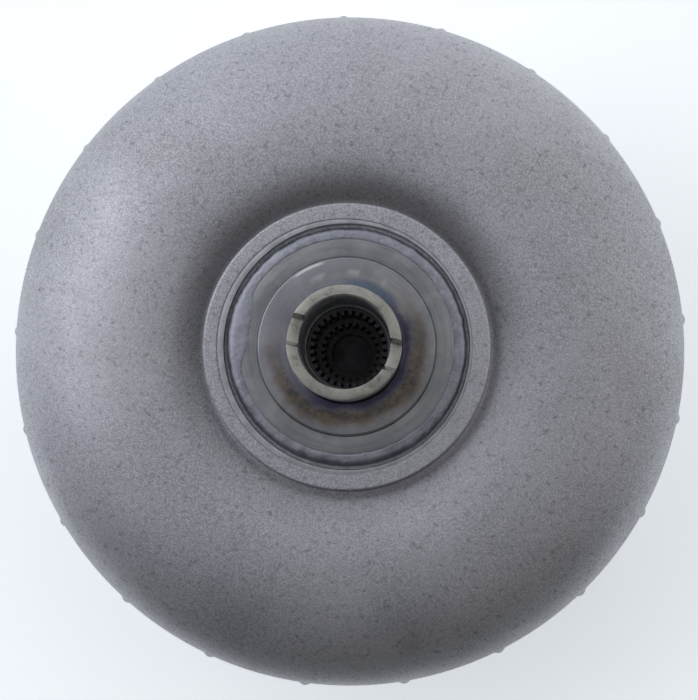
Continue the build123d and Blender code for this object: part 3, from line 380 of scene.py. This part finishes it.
def turned_flange():
    """The hub's flange: tool rings, scuffs, heat colours round the foot of the tube, a painted shadow beside
    the tube, a painted highlight near the top and a painted glint on the disc's edge.
    """
    n = Nodes("turned_flange")
    radius, angle, height = n.polar()
    fine, coarse = turned_rings(n, radius, height)
    clouds = n.noise(60, 4, 0.6, distort=0.5)
    patches = n.noise(260, 6, 0.72, distort=0.5)
    reach = n.math("ADD", radius, n.math("MULTIPLY_ADD", clouds, 0.008, -0.004))
    base = n.mix(n.span(clouds, 0.35, 0.7), (0.33, 0.335, 0.35), (0.42, 0.42, 0.43))
    base = n.mix(n.math("MULTIPLY", n.span(coarse, 0.4, 0.62), 0.22), base, (0.27, 0.27, 0.28))
    disc = n.span(radius, DISC_R, DISC_R - 0.6 * MM)
    along_rings = n.point(n.math("MULTIPLY", radius, 900), n.math("MULTIPLY", angle, 2.0), 9.0)
    lines = n.noise(1.0, 3, 0.7, along_rings)
    base = n.mix(n.math("MULTIPLY", n.span(lines, 0.52, 0.66), 0.3), base, (0.20, 0.20, 0.205))
    # pale violet bloom over the whole disc, then straw and brown, then blue next to the tube
    bloom = n.math("MULTIPLY", disc, n.math("MULTIPLY_ADD", facing(n, angle, 165, -0.3, 0.9), 0.3, 0.15))
    base = n.mix(bloom, base, (0.29, 0.285, 0.345))
    straw = ring_mask(n, reach, 26.5, 30.5, 32.5, 37.5)
    low_side = facing(n, angle, -75, -0.75, 0.6)
    crackle = n.span(patches, 0.30, 0.66)
    straw = n.math("MULTIPLY", straw, n.math("MULTIPLY_ADD", low_side, 0.85, 0.15))
    base = n.mix(n.math("MULTIPLY", straw, crackle), base, (0.25, 0.185, 0.115))
    dark_straw = n.math("MULTIPLY", ring_mask(n, reach, 26.5, 29.0, 31.5, 35.5), n.span(patches, 0.66, 0.40))
    dark_straw = n.math("MULTIPLY", n.math("MULTIPLY", dark_straw, low_side), 0.85)
    base = n.mix(dark_straw, base, (0.095, 0.078, 0.062))
    blue = ring_mask(n, reach, 21.0, 22.0, 26.0, 30.0)
    blue_side = n.math("MULTIPLY_ADD", facing(n, angle, -45, -0.6, 0.5), 0.75, 0.12)
    top_blue = ring_mask(n, radius, 24.5, 26.0, 28.0, 30.0)
    top_blue = n.math("MULTIPLY", facing(n, angle, 66, 0.86, 0.98), top_blue)
    base = n.mix(n.math("MULTIPLY", blue, blue_side), base, (0.055, 0.045, 0.10))
    base = n.mix(n.math("MULTIPLY", top_blue, 0.75), base, (0.15, 0.20, 0.29))
    # painted shadow of the tube: a near-black patch beside its foot, on the tube's right, away from the key
    # light
    painted_tube_shadow = n.math("MULTIPLY", ring_mask(n, reach, 21.0, 22.0, 23.5, 26.5), facing(n, angle, -30, -0.2, 0.7))
    base = n.mix(n.math("MULTIPLY", painted_tube_shadow, 0.8), base, (0.035, 0.028, 0.030))
    # painted highlight in pale patches on the disc towards the top, a painted glint on the disc's edge, and
    # thin arc scratches
    painted_top_highlight = ring_mask(n, radius, 29.5, 30.5, 32.0, 33.5)
    painted_top_highlight = n.math("MULTIPLY", facing(n, angle, 88, 0.72, 0.95), painted_top_highlight)
    painted_top_highlight = n.math("MULTIPLY", painted_top_highlight, n.span(n.noise(170, 1, 0.4), 0.50, 0.66))
    # painted glint: a short bright arc on the disc's edge towards the upper left
    painted_edge_glint = ring_mask(n, radius, 36.0, 36.8, 37.2, 37.7)
    painted_edge_glint = n.math("MULTIPLY", facing(n, angle, 116, 0.975, 0.995), painted_edge_glint)
    base = n.mix(n.math("MULTIPLY", painted_edge_glint, 0.8), base, (0.85, 0.84, 0.82))
    base = n.mix(n.math("MULTIPLY", painted_top_highlight, 0.5), base, (0.62, 0.61, 0.60))
    along_arcs = n.point(n.math("MULTIPLY", radius, 1500), n.math("MULTIPLY", angle, 4.0), 2.0)
    arcs = n.noise(1.0, 2, 0.6, along_arcs)
    scratch = n.math("MULTIPLY", n.span(arcs, 0.36, 0.30), ring_mask(n, radius, 43.0, 44.0, 45.8, 46.2))
    scratch = n.math("MULTIPLY", scratch, facing(n, angle, 38, 0.55, 0.85))
    base = n.mix(n.math("MULTIPLY", scratch, 0.8), base, (0.10, 0.10, 0.11))
    rough = n.span(clouds, 0.3, 0.7, 0.30, 0.42)
    normal = n.bump(fine, 0.00003, 0.8)
    normal = n.bump(coarse, 0.00006, 0.5, normal)
    normal = n.bump(patches, 0.00025, 0.25, normal)
    return n.finish(base, 0.9, rough, normal)


def turned_tube():
    """The hub's tube: fine rings, oily smears and painted shade darkening its foot."""
    n = Nodes("turned_tube")
    radius, _, height = n.polar()
    fine, coarse = turned_rings(n, radius, height)
    clouds = n.noise(90, 4, 0.6, distort=0.4)
    base = n.mix(n.span(clouds, 0.35, 0.68), (0.40, 0.395, 0.38), (0.52, 0.515, 0.49))
    base = n.mix(n.math("MULTIPLY", n.span(coarse, 0.4, 0.62), 0.25), base, (0.33, 0.33, 0.32))
    # painted shade: the lowest 9 mm of the tube, where it meets the flange, darkened to blue-black
    foot = n.span(height, DISC_TOP + 9 * MM, DISC_TOP)
    base = n.mix(n.math("MULTIPLY", foot, 0.8), base, (0.09, 0.085, 0.12))
    rough = n.span(clouds, 0.3, 0.7, 0.22, 0.36)
    normal = n.bump(coarse, 0.00005, 0.5, n.bump(fine, 0.00003, 0.8))
    return n.finish(base, 0.95, rough, normal)


def hub_end_face():
    """The tube's end: warm grey ground steel with dark fretting patches."""
    n = Nodes("hub_end_face")
    clouds = n.noise(160, 4, 0.65, distort=0.5)
    specks = n.noise(900, 3, 0.6)
    base = n.mix(n.span(clouds, 0.35, 0.66), (0.355, 0.345, 0.305), (0.46, 0.45, 0.405))
    base = n.mix(n.math("MULTIPLY", n.span(clouds, 0.46, 0.33), 0.55), base, (0.20, 0.195, 0.18))
    base = n.mix(n.math("MULTIPLY", n.span(specks, 0.58, 0.68), 0.5), base, (0.18, 0.17, 0.155))
    rough = n.span(clouds, 0.3, 0.7, 0.42, 0.55)
    return n.finish(base, 0.8, rough, n.bump(specks, 0.00005, 0.6))


def oily_bore():
    """Old oil on dark steel, deep inside."""
    n = Nodes("oily_bore")
    clouds = n.noise(110, 4, 0.6)
    drops = n.spots(330)
    base = n.mix(n.span(clouds, 0.35, 0.65), (0.30, 0.305, 0.31), (0.46, 0.465, 0.47))
    rough = n.span(clouds, 0.3, 0.7, 0.32, 0.5)
    normal = n.bump(n.span(drops, 0.0, 0.35, 1.0, 0.0), 0.0002, 0.4)
    n.shader.inputs["Specular IOR Level"].default_value = 0.35
    return n.finish(base, 0.3, rough, normal)


def weld_metal():
    """A brushed weld bead: bluish, uneven, with a dull skin."""
    n = Nodes("weld_metal")
    clouds = n.noise(120, 4, 0.65)
    grain = n.noise(700, 3, 0.6)
    base = n.mix(n.span(clouds, 0.35, 0.65), (0.27, 0.275, 0.315), (0.38, 0.385, 0.43))
    base = n.mix(n.math("MULTIPLY", n.span(grain, 0.5, 0.68), 0.35), base, (0.52, 0.53, 0.57))
    rough = n.span(clouds, 0.3, 0.7, 0.46, 0.6)
    normal = n.bump(clouds, 0.0005, 0.5)
    normal = n.bump(grain, 0.00006, 0.6, normal)
    return n.finish(base, 0.9, rough, normal)


def seam_metal():
    """The girth weld and the other beads on the cover: dull grey with fine dark grain."""
    n = Nodes("seam_metal")
    clouds = n.noise(140, 4, 0.65)
    grain = n.noise(1100, 3, 0.6)
    base = n.mix(n.span(clouds, 0.35, 0.65), (0.23, 0.235, 0.25), (0.36, 0.36, 0.375))
    base = n.mix(n.math("MULTIPLY", n.span(grain, 0.52, 0.66), 0.35), base, (0.12, 0.10, 0.09))
    rough = n.span(clouds, 0.3, 0.7, 0.4, 0.55)
    return n.finish(base, 0.85, rough, n.bump(grain, 0.00006, 0.6))


def inner_steel(name, pale, dark, metallic=0.9, rough_low=0.3, rough_high=0.45):
    """Metal or lining of the inner pieces, clouded and finely grained."""
    n = Nodes(name)
    clouds = n.noise(80, 4, 0.6)
    grain = n.noise(1500, 2, 0.6)
    base = n.mix(n.span(clouds, 0.35, 0.65), dark, pale)
    darker = tuple(0.6 * value for value in dark)
    base = n.mix(n.math("MULTIPLY", n.span(grain, 0.5, 0.7), 0.3), base, darker)
    rough = n.span(clouds, 0.3, 0.7, rough_low, rough_high)
    return n.finish(base, metallic, rough, n.bump(grain, 0.00002, 0.5))


def machined(name, pale, dark):
    """Bright turned steel of the pilot and the drive pads, with painted shade making it almost black where it
    shows down the bore.
    """
    n = Nodes(name)
    radius, _, height = n.polar()
    fine, coarse = turned_rings(n, radius, height)
    clouds = n.noise(70, 4, 0.6, distort=0.3)
    base = n.mix(n.span(clouds, 0.35, 0.65), dark, pale)
    darker = tuple(0.7 * value for value in dark)
    base = n.mix(n.math("MULTIPLY", n.span(coarse, 0.4, 0.62), 0.25), base, darker)
    # painted shade: the pilot's middle, deep down the bore, coloured almost black
    past_plate = n.span(height, cover_low.z + 4.5 * MM, cover_low.z + 4.9 * MM)
    inside = n.math("MULTIPLY", past_plate, n.span(radius, 30 * MM, 20 * MM))
    base = n.mix(n.math("MULTIPLY", inside, 0.93), base, (0.03, 0.03, 0.032))
    rough = n.span(clouds, 0.3, 0.7, 0.24, 0.4)
    normal = n.bump(coarse, 0.00005, 0.5, n.bump(fine, 0.00003, 0.8))
    return n.finish(base, 0.95, rough, normal)


def plain_floor():
    """Pale matt paper that glows weakly, and dark grey beyond the picture's lower edge."""
    n = Nodes("floor_paper")
    split = n.tree.nodes.new("ShaderNodeVectorMath")
    split.operation = "DOT_PRODUCT"
    n.join(n.place, split.inputs[0])
    split.inputs[1].default_value = up
    pale = n.span(split.outputs["Value"], FLOOR_DARK_END, FLOOR_PALE_START, FLOOR_FAR, 1.0)
    paper = n.mix(n.noise(400, 2, 0.5), (0.93, 0.93, 0.93), (0.95, 0.95, 0.95))
    base = n.mix(pale, (0.0, 0.0, 0.0), paper)
    n.shader.inputs["Emission Color"].default_value = FLOOR_COLOUR
    n.join(n.math("MULTIPLY", pale, FLOOR_GLOW), n.shader.inputs["Emission Strength"])
    return n.finish(base, 0.0, 0.9)


blasted = blasted_steel()
land = machined_land()
weld = weld_metal()
seam = seam_metal()
bore = oily_bore()


# ---------------------------------------------------------------- impeller shell
def rounded(corners, radius, steps=4):
    """Replaces each inner corner of a polyline by a short quadratic curve."""
    points = [corners[0]]
    for before, corner, after in zip(corners, corners[1:], corners[2:]):
        ends = []
        for other in (before, after):
            gap = hypot(other[0] - corner[0], other[1] - corner[1])
            share = min(radius, gap * 0.45) / gap
            ends.append(tuple(c + (o - c) * share for c, o in zip(corner, other)))
        for step in range(steps + 1):
            t = step / steps
            weights = ((1 - t) ** 2, 2 * t * (1 - t), t * t)
            points.append(tuple(
                weights[0] * a + weights[1] * c + weights[2] * b for a, c, b in zip(ends[0], corner, ends[1])
            ))
    points.append(corners[-1])
    return points


def sector_angles():
    """Angles round the shell, closer together where the dimples are."""
    pitch = 2 * pi / DIMPLES
    half = radians(1.9)
    fine = 14
    coarse = 12
    angles = []
    for index in range(DIMPLES):
        centre = DIMPLE_PHASE + index * pitch
        angles += [centre - half + 2 * half * i / fine for i in range(fine)]
        angles += [centre + half + (pitch - 2 * half) * i / coarse for i in range(coarse)]
    return angles


def impeller_shell():
    """The outer shell with pressed dimples, a rounded collar and the off-centre machined land inside it."""
    reach = SHELL_R - TORUS_R
    inner_reach = reach - SHELL_T
    inner_rise = SHELL_RISE - SHELL_T
    foot_turn = acos((FOOT_R - TORUS_R) / reach)
    foot_z = SHELL_CENTRE_Z + SHELL_RISE * sin(foot_turn)
    inner_turn = acos((INNER_R - TORUS_R) / inner_reach)
    inner_z = SHELL_CENTRE_Z + inner_rise * sin(inner_turn)
    rim_in = TORUS_R + inner_reach
    rim = [(rim_in, SHELL_CENTRE_Z), (rim_in, RIM_END), (SHELL_R, RIM_END), (SHELL_R, RIM_END + 2 * MM)]
    profile = rounded(rim, 0.6 * MM, 3)
    profile += line((SHELL_R, RIM_END + 2.4 * MM), (SHELL_R, SHELL_CENTRE_Z), 12)
    profile += ellipse_arc(TORUS_R, SHELL_CENTRE_Z, reach, SHELL_RISE, 0, foot_turn, 96)
    land_z = COLLAR_TOP - LAND_DROP
    collar_foot = (COLLAR_R + 0.2 * MM, foot_z + 0.1 * MM)
    profile += rounded([(FOOT_R, foot_z), collar_foot, (COLLAR_R, COLLAR_TOP - 4 * MM)], 0.9 * MM)[1:-1]
    profile += rounded([collar_foot, (COLLAR_R, COLLAR_TOP), (LAND_OUT_R, COLLAR_TOP)], COLLAR_ROUND, 8)[1:-1]
    step_start = len(profile)
    profile += rounded(
        [
            (LAND_OUT_R + 1.2 * MM, COLLAR_TOP), (LAND_OUT_R, COLLAR_TOP),
            (LAND_OUT_R - 0.1 * MM, land_z - 0.15 * MM), (LAND_OUT_R - 0.7 * MM, land_z),
        ],
        0.25 * MM, 3,
    )
    step_end = len(profile)
    wall = [
        (LAND_OUT_R - 0.9 * MM, land_z), (LIP_R, land_z), (LIP_R, LEDGE_Z), (SEAT_R, LEDGE_Z),
        (SEAT_R, BORE_Z), (FLOOR_R, BORE_Z), (INNER_R, inner_z),
    ]
    profile += rounded(wall, 0.35 * MM, 4)[1:]
    profile += ellipse_arc(TORUS_R, SHELL_CENTRE_Z, inner_reach, inner_rise, inner_turn, 0, 24)[1:-1]
    half_width = 3.3 * MM
    half_height = 5.6 * MM
    proud = 1.5 * MM
    pitch = 2 * pi / DIMPLES

    def shape(r, z, angle, index):
        if step_start <= index < step_end:
            return r - LAND_SHIFT * cos(angle - ROLL), z
        if r < SHELL_R - 6 * MM or z > DIMPLE_Z + half_height or r < rim_in + SHELL_T / 2:
            return r, z
        away = (angle - DIMPLE_PHASE + pitch / 2) % pitch - pitch / 2
        across = away * SHELL_R / half_width
        along = (z - DIMPLE_Z) / half_height
        inside = 1 - across * across - along * along
        return (r + proud * inside ** 1.3, z) if inside > 0 else (r, z)

    verts, faces = lathe(profile, sector_angles(), shape)
    piece = new_piece(
        "impeller_shell_skin", verts, faces, "housing", [blasted, land], ["impeller_shell"]
    )
    for face in piece.data.polygons:
        middle = face.center
        from_centre = hypot(middle.x + LAND_SHIFT / 2 * cos(ROLL), middle.y)
        if middle.z > LEDGE_Z + 1 * MM and from_centre < LAND_OUT_R:
            face.material_index = 1
    piece.data.set_sharp_from_angle(angle=radians(40))


# ---------------------------------------------------------------- weld round the hub
def hub_weld():
    """The bead in the groove between flange and collar, with one wide blob."""
    top = weld_high.z
    low = weld_low.z
    steps = 14
    inner = [(SEAT_R, low), (SEAT_R, top - 1 * MM)]
    crown = []
    for index in range(steps + 1):
        t = index / steps
        r = SEAT_R + (WELD_OUT_R - SEAT_R) * t
        rise = 0.3 * MM * min(1, 8 * t) - 0.1 * MM
        fall = 1.0 * MM * t * t + (top - low - 2 * MM) * t ** 9
        crown.append((r, top + rise - fall))
    profile = inner + crown + [(WELD_OUT_R, low)]
    first = len(inner)

    def uneven(r, z, angle, index):
        if not first <= index < first + steps + 1:
            return r, z
        t = (index - first) / steps
        around = Vector((cos(angle), sin(angle), 0))
        wave = noise.noise(around * 9 + Vector((0, 0, t * 2)))
        ripple = noise.noise(around * 42 + Vector((3, 1, t * 3)))
        away = (angle - WELD_BLOB + pi) % (2 * pi) - pi
        wide = exp(-((away / radians(17)) ** 4)) * (4.3 + 0.8 * noise.noise(around * 30)) * MM
        edge = noise.noise(around * 16 + Vector((7, 0, 0)))
        r -= (1 - t) ** 2 * (wide + (0.2 + 0.35 * wave) * MM)
        r += t ** 2 * (0.45 * edge - 0.3 + 0.6 * exp(-((away / radians(22)) ** 4))) * MM
        z += 4 * t * (1 - t) * (0.22 * wave + 0.10 * ripple) * MM
        r += 0.35 * MM * t * t * max(0, cos(angle - ROLL))
        return r, z

    verts, faces = lathe(profile, even_angles(420), uneven)
    new_piece("hub_weld_bead", verts, faces, "housing", [weld], ["hub_weld"])


# ---------------------------------------------------------------- pump hub
def hub_flange():
    """The welded ring and the turned disc, with a fine groove between them and a radius at the tube."""
    groove_r = DISC_R + 0.45 * MM
    groove_z = RING_TOP - 0.5 * MM
    outline = [
        (HUB_R, flange_low.z), (BOSS_R, flange_low.z), (BOSS_R, BOSS_Z), (SEAT_R, BORE_Z), (SEAT_R, RING_TOP),
        (groove_r + 0.5 * MM, RING_TOP), (groove_r, groove_z), (DISC_R, groove_z), (DISC_R, DISC_TOP),
        (HUB_R + HUB_FILLET + 1 * MM, DISC_TOP),
    ]
    profile = rounded(outline, 0.28 * MM, 3)
    profile += ellipse_arc(HUB_R + HUB_FILLET, DISC_TOP + HUB_FILLET, HUB_FILLET, HUB_FILLET, 1.5 * pi, pi, 8)
    verts, faces = lathe(profile, even_angles(360))
    piece = new_piece(
        "hub_flange_turned", verts, faces, "housing", [turned_flange()], ["hub_flange"]
    )
    piece.data.set_sharp_from_angle(angle=radians(50))


def temporary(name, verts, faces):
    """A scratch object for a modifier, removed again once it has been used."""
    mesh = bpy.data.meshes.new(name)
    mesh.from_pydata(verts, [], faces)
    thing = bpy.data.objects.new(name, mesh)
    bpy.context.scene.collection.objects.link(thing)
    return thing


def pump_hub():
    """The slotted tube: a lathe form with two tapered slots cut through its end and every slot edge eased."""
    edge = 0.9 * MM
    mouth = 0.7 * MM
    profile = [
        (BORE_LEDGE_R, hub_low.z), (HUB_R, hub_low.z), (HUB_R, DISC_TOP), (HUB_R, HUB_TOP - 12 * MM),
        (HUB_R, HUB_TOP - edge), (HUB_R - 0.35 * edge, HUB_TOP - 0.25 * edge), (HUB_R - edge, HUB_TOP),
        (BORE_R + mouth, HUB_TOP), (BORE_R, HUB_TOP - mouth), (BORE_R, HUB_TOP - 12 * MM),
        (BORE_R, BORE_LEDGE_Z + 0.6 * MM), (BORE_R - 0.6 * MM, BORE_LEDGE_Z), (BORE_LEDGE_R, BORE_LEDGE_Z),
    ]
    verts, faces = lathe(profile, even_angles(288))
    tube = temporary("tube_blank", verts, faces)
    past = 1 * MM
    section = [
        (-SLOT_FLOOR_W / 2, SLOT_FLOOR_Z), (SLOT_FLOOR_W / 2, SLOT_FLOOR_Z),
        (SLOT_TOP_W / 2, HUB_TOP + past), (-SLOT_TOP_W / 2, HUB_TOP + past),
    ]
    ends = [-HUB_R - past, HUB_R + past]
    block = [(x, y, z) for x in ends for y, z in section]
    sides = [(i, (i + 1) % 4, (i + 1) % 4 + 4, i + 4) for i in range(4)]
    cutter = temporary("slot_cutter", block, [(3, 2, 1, 0), (4, 5, 6, 7)] + sides)
    cut = tube.modifiers.new("slots", "BOOLEAN")
    cut.object = cutter
    cut.operation = "DIFFERENCE"
    cut.solver = "EXACT"
    ease = tube.modifiers.new("eased_edges", "BEVEL")
    ease.width = 0.25 * MM
    ease.segments = 2
    ease.limit_method = "ANGLE"
    ease.angle_limit = radians(62)
    evaluated = tube.evaluated_get(bpy.context.evaluated_depsgraph_get())
    mesh = bpy.data.meshes.new_from_object(evaluated)
    for scratch in (tube, cutter):
        old = scratch.data
        bpy.data.objects.remove(scratch)
        bpy.data.meshes.remove(old)
    piece = add_piece(
        "pump_hub_tube", mesh, "housing", [turned_tube(), hub_end_face(), bore], ["pump_hub"]
    )
    for face in mesh.polygons:
        middle = face.center
        distance = hypot(middle.x, middle.y)
        if distance < BORE_R + 0.1 * MM and middle.z < SLOT_FLOOR_Z + 5 * MM:
            face.material_index = 2
        elif face.normal.z > 0.7 and middle.z > SLOT_FLOOR_Z - 1 * MM:
            face.material_index = 1
    piece.data.set_sharp_from_angle(angle=radians(30))


# ---------------------------------------------------------------- welds of the cover
def chevron(angle, across, count):
    """Height of a weld's ripples: curved waves that trail at the bead's edges."""
    phase = angle * count / (2 * pi) - 0.55 * across * across
    return 0.5 + 0.5 * cos(2 * pi * phase)


def girth_weld():
    """The rippled bead round the seam between impeller rim and front cover."""
    steps = 10
    low = seam_low.z - 1.2 * MM
    top = RIM_END + 1.0 * MM
    foot_r = cover_high.x
    ripples = 420
    profile = [(foot_r - 3 * MM, top), (foot_r - 3 * MM, low)]
    first = len(profile)
    for index in range(steps + 1):
        t = index / steps
        r = foot_r + (SHELL_R - foot_r) * t - 0.15 * MM
        profile.append((r, low + (top - low) * t))

    def rippled(r, z, angle, index):
        if index < first:
            return r, z
        t = (index - first) / steps
        bulge = (4 * t * (1 - t)) ** 0.7
        around = Vector((cos(angle), sin(angle), 0))
        wave = noise.noise(around * 14)
        edge = noise.noise(around * 30 + Vector((0, 0, 5 * t)))
        lift = 0.75 + 0.12 * wave + 0.22 * chevron(angle, 2 * t - 1, ripples)
        z += (1 - bulge) * 0.45 * edge * MM
        return r + bulge * lift * MM, z

    verts, faces = lathe(profile, even_angles(ripples * 6), rippled)
    new_piece("girth_weld_bead", verts, faces, "housing", [seam], ["girth_weld"])


def pilot_weld():
    """The fillet weld between crank pilot and cover."""
    plate_z = cover_low.z
    size = 2.6 * MM
    steps = 8
    ripples = 66
    pilot_r = pilot_high.x
    profile = [(pilot_r - 0.5 * MM, plate_z + 0.5 * MM)]
    for index in range(steps + 1):
        t = index / steps
        profile.append((pilot_r - 0.1 * MM + size * t, plate_z + 0.1 * MM - size * (1 - t)))

    def rippled(r, z, angle, index):
        if index == 0:
            return r, z
        t = (index - 1) / steps
        around = Vector((cos(angle), sin(angle), 0))
        wave = 0.25 + 0.3 * chevron(angle, 2 * t - 1, ripples) + 0.15 * noise.noise(around * 6)
        lift = 4 * t * (1 - t) * wave * MM
        return r + lift, z - lift

    verts, faces = lathe(profile, even_angles(ripples * 8), rippled)
    new_piece("pilot_weld_bead", verts, faces, "housing", [seam])


def lug_welds():
    """A bead along the inner edge of each drive pad and down its two sides."""
    inner_r = LUG_R - LUG_RADIAL / 2
    half = LUG_WIDE / 2
    corner = 5 * MM
    sides = 10
    for lug in range(LUG_COUNT):
        turn = pi / 2 + 2 * pi * lug / LUG_COUNT
        path = [(inner_r + LUG_BEAD_RUN, -half)]
        path += line((inner_r + LUG_BEAD_RUN, -half), (inner_r + corner, -half), 24)[1:]
        path += ellipse_arc(inner_r + corner, -half + corner, corner, corner, 1.5 * pi, pi, 20)
        path += line((inner_r, -half + corner), (inner_r, half - corner), 60)[1:]
        path += ellipse_arc(inner_r + corner, half - corner, corner, corner, pi, 0.5 * pi, 20)
        path += line((inner_r + corner, half), (inner_r + LUG_BEAD_RUN, half), 25)[1:]
        verts = []
        for index, (x, y) in enumerate(path):
            before = path[max(index - 1, 0)]
            after = path[min(index + 1, len(path) - 1)]
            along = Vector((after[0] - before[0], after[1] - before[1], 0)).normalized()
            outward = Vector((along.y, -along.x, 0))
            if (Vector((x, y, 0)) - Vector((LUG_R, 0, 0))).dot(outward) < 0:
                outward = -outward
            taper = min(1, (index + 1) / 3, (len(path) - index) / 3)
            uneven = 0.22 * cos(index * 2.1) + 0.25 * noise.noise(Vector((x, y, lug)) * 300)
            size = (1.5 + uneven) * MM * taper
            for side in range(sides):
                a = 2 * pi * side / sides
                point = Vector((x, y, cover_face_z - sin(a) * size)) + outward * (cos(a) * size)
                turned_x = point.x * cos(turn) - point.y * sin(turn)
                turned_y = point.x * sin(turn) + point.y * cos(turn)
                verts.append((turned_x, turned_y, point.z))
        faces = []
        for ring in range(len(path) - 1):
            for side in range(sides):
                nxt = (side + 1) % sides
                here = ring * sides
                faces.append((here + side, here + nxt, here + sides + nxt, here + sides + side))
        faces.append(tuple(range(sides)))
        faces.append(tuple(range(len(verts) - 1, len(verts) - sides - 1, -1)))
        new_piece(f"lug_weld_{lug + 1}", verts, faces, "housing", [seam])


impeller_shell()
hub_weld()
hub_flange()
pump_hub()
girth_weld()
pilot_weld()
lug_welds()


# ---------------------------------------------------------------- looks of the CAD nodes shown as they are
steel = inner_steel("oiled_steel", (0.30, 0.29, 0.28), (0.20, 0.195, 0.19))
polished = inner_steel("ground_steel", (0.50, 0.49, 0.48), (0.38, 0.375, 0.37), 0.95, 0.2, 0.32)
dark_steel = inner_steel("blackened_steel", (0.16, 0.16, 0.17), (0.09, 0.09, 0.1))
alloy = inner_steel("cast_alloy", (0.60, 0.60, 0.61), (0.48, 0.48, 0.49), 0.9, 0.45, 0.6)
bronze = inner_steel("sintered_bronze", (0.55, 0.38, 0.18), (0.42, 0.28, 0.13), 0.9, 0.4, 0.55)
paper = inner_steel("friction_paper", (0.20, 0.14, 0.10), (0.13, 0.09, 0.07), 0.0, 0.8, 0.9)
seal = inner_steel("seal_plastic", (0.10, 0.09, 0.08), (0.06, 0.055, 0.05), 0.0, 0.5, 0.6)
depths = inner_steel("oily_inner_steel", (0.30, 0.30, 0.31), (0.19, 0.19, 0.195), 0.3, 0.35, 0.5)
pads = machined("turned_pads", (0.50, 0.50, 0.50), (0.38, 0.38, 0.39))
BY_SLOT = {
    "blasted_shell": blasted, "machined_hub": pads, "turned_steel": pads, "weld": weld,
    "blade_steel": steel, "bearing_steel": polished, "spring_steel": dark_steel,
    "cast_aluminium": alloy, "bronze": bronze, "seal": seal, "lining": paper,
}
for part in frame["record"]["subparts"]:
    node = frame["nodes"][part["node"]]
    node.data.materials.clear()
    node.data.materials.append(BY_SLOT[part["material_slot"]])
for name in ("turbine_hub", "stator_race"):
    frame["nodes"][name].data.materials[0] = depths


# ---------------------------------------------------------------- floor, light and camera
def floor():
    """One flat sheet."""
    mesh = bpy.data.meshes.new("floor")
    corners = [(-1, -1), (1, -1), (1, 1), (-1, 1)]
    mesh.from_pydata([(x * FLOOR_SIZE, y * FLOOR_SIZE, FLOOR_Z) for x, y in corners], [], [(0, 1, 2, 3)])
    piece = bpy.data.objects.new("floor", mesh)
    bpy.context.scene.collection.objects.link(piece)
    mesh.materials.append(plain_floor())


def area_light(name, place, target, size, power, colour):
    """A round soft lamp that points at a target."""
    data = bpy.data.lights.new(name, "AREA")
    data.shape = "DISK"
    data.size = size
    data.energy = power
    data.color = colour
    lamp = bpy.data.objects.new(name, data)
    lamp.location = place
    lamp.rotation_euler = (Vector(target) - Vector(place)).to_track_quat("-Z", "Y").to_euler()
    bpy.context.scene.collection.objects.link(lamp)


def camera():
    """The photograph's view: almost straight down the axis, tilted a little."""
    data = bpy.data.cameras.new("camera")
    data.lens = FOCAL
    data.sensor_width = SENSOR
    data.clip_start = 0.01
    eye = bpy.data.objects.new("camera", data)
    side = (right * 5.4 - up * 7.7).normalized()
    away = side * sin(TILT) + Vector((0, 0, cos(TILT)))
    eye.location = aim + away * DISTANCE
    across = up.cross(away).normalized()
    upright = away.cross(across)
    eye.rotation_euler = Matrix((across, upright, away)).transposed().to_euler()
    bpy.context.scene.collection.objects.link(eye)
    bpy.context.scene.camera = eye


def world():
    """A pale studio, brighter on the key side, darker towards the picture's bottom and overhead."""
    data = bpy.data.worlds.new("studio")
    data.use_nodes = True
    tree = data.node_tree
    place = tree.nodes.new("ShaderNodeTexCoord").outputs["Generated"]

    def math(kind, first, second=0.0):
        node = tree.nodes.new("ShaderNodeMath")
        node.operation = kind
        for socket, value in zip(node.inputs, (first, second)):
            if isinstance(value, float):
                socket.default_value = value
            else:
                tree.links.new(value, socket)
        return node.outputs[0]

    def towards(direction):
        node = tree.nodes.new("ShaderNodeVectorMath")
        node.operation = "DOT_PRODUCT"
        tree.links.new(place, node.inputs[0])
        node.inputs[1].default_value = direction
        return node.outputs["Value"]

    shade = tree.nodes.new("ShaderNodeMapRange")
    shade.interpolation_type = "SMOOTHSTEP"
    shade.inputs["From Min"].default_value = SHADE_FULL
    shade.inputs["From Max"].default_value = SHADE_END
    tree.links.new(towards(up), shade.inputs["Value"])
    side = towards(KEY_SIDE)
    overhead = tree.nodes.new("ShaderNodeMapRange")
    overhead.interpolation_type = "SMOOTHSTEP"
    overhead.inputs["From Min"].default_value = cos(radians(30))
    overhead.inputs["From Max"].default_value = cos(radians(8))
    tree.links.new(towards(Vector((0, 0, 1))), overhead.inputs["Value"])
    level = math("ADD", math("MULTIPLY", side, SKY_SWING), SKY_LEVEL)
    falloff = math("ADD", math("MULTIPLY", shade.outputs[0], 1.0 - SHADE_LEVEL), SHADE_LEVEL)
    level = math("MULTIPLY", level, falloff)
    dip = math("SUBTRACT", 1.0, math("MULTIPLY", overhead.outputs[0], OVERHEAD_DIP))
    level = math("MULTIPLY", level, dip)
    tint = tree.nodes.new("ShaderNodeMix")
    tint.data_type = "RGBA"
    tint.inputs[6].default_value = (1.0, 0.985, 0.97, 1)
    tint.inputs[7].default_value = (0.90, 0.96, 1.08, 1)
    tree.links.new(math("ADD", math("MULTIPLY", side, 0.5), 0.5), tint.inputs[0])
    tree.links.new(tint.outputs[2], tree.nodes["Background"].inputs["Color"])
    tree.links.new(level, tree.nodes["Background"].inputs["Strength"])
    bpy.context.scene.world = data


floor()
world()
key_place = aim + KEY_SIDE * 1.2 + Vector((0, 0, 1.0))
fill_place = aim + right * 1.5 + Vector((0, 0, 0.1))
area_light("key_softbox", key_place, aim, KEY_SIZE, KEY_POWER, KEY_COLOUR)
area_light("rim_fill", fill_place, aim, FILL_SIZE, FILL_POWER, FILL_COLOUR)
bpy.context.scene.view_settings.view_transform = "Standard"
camera()
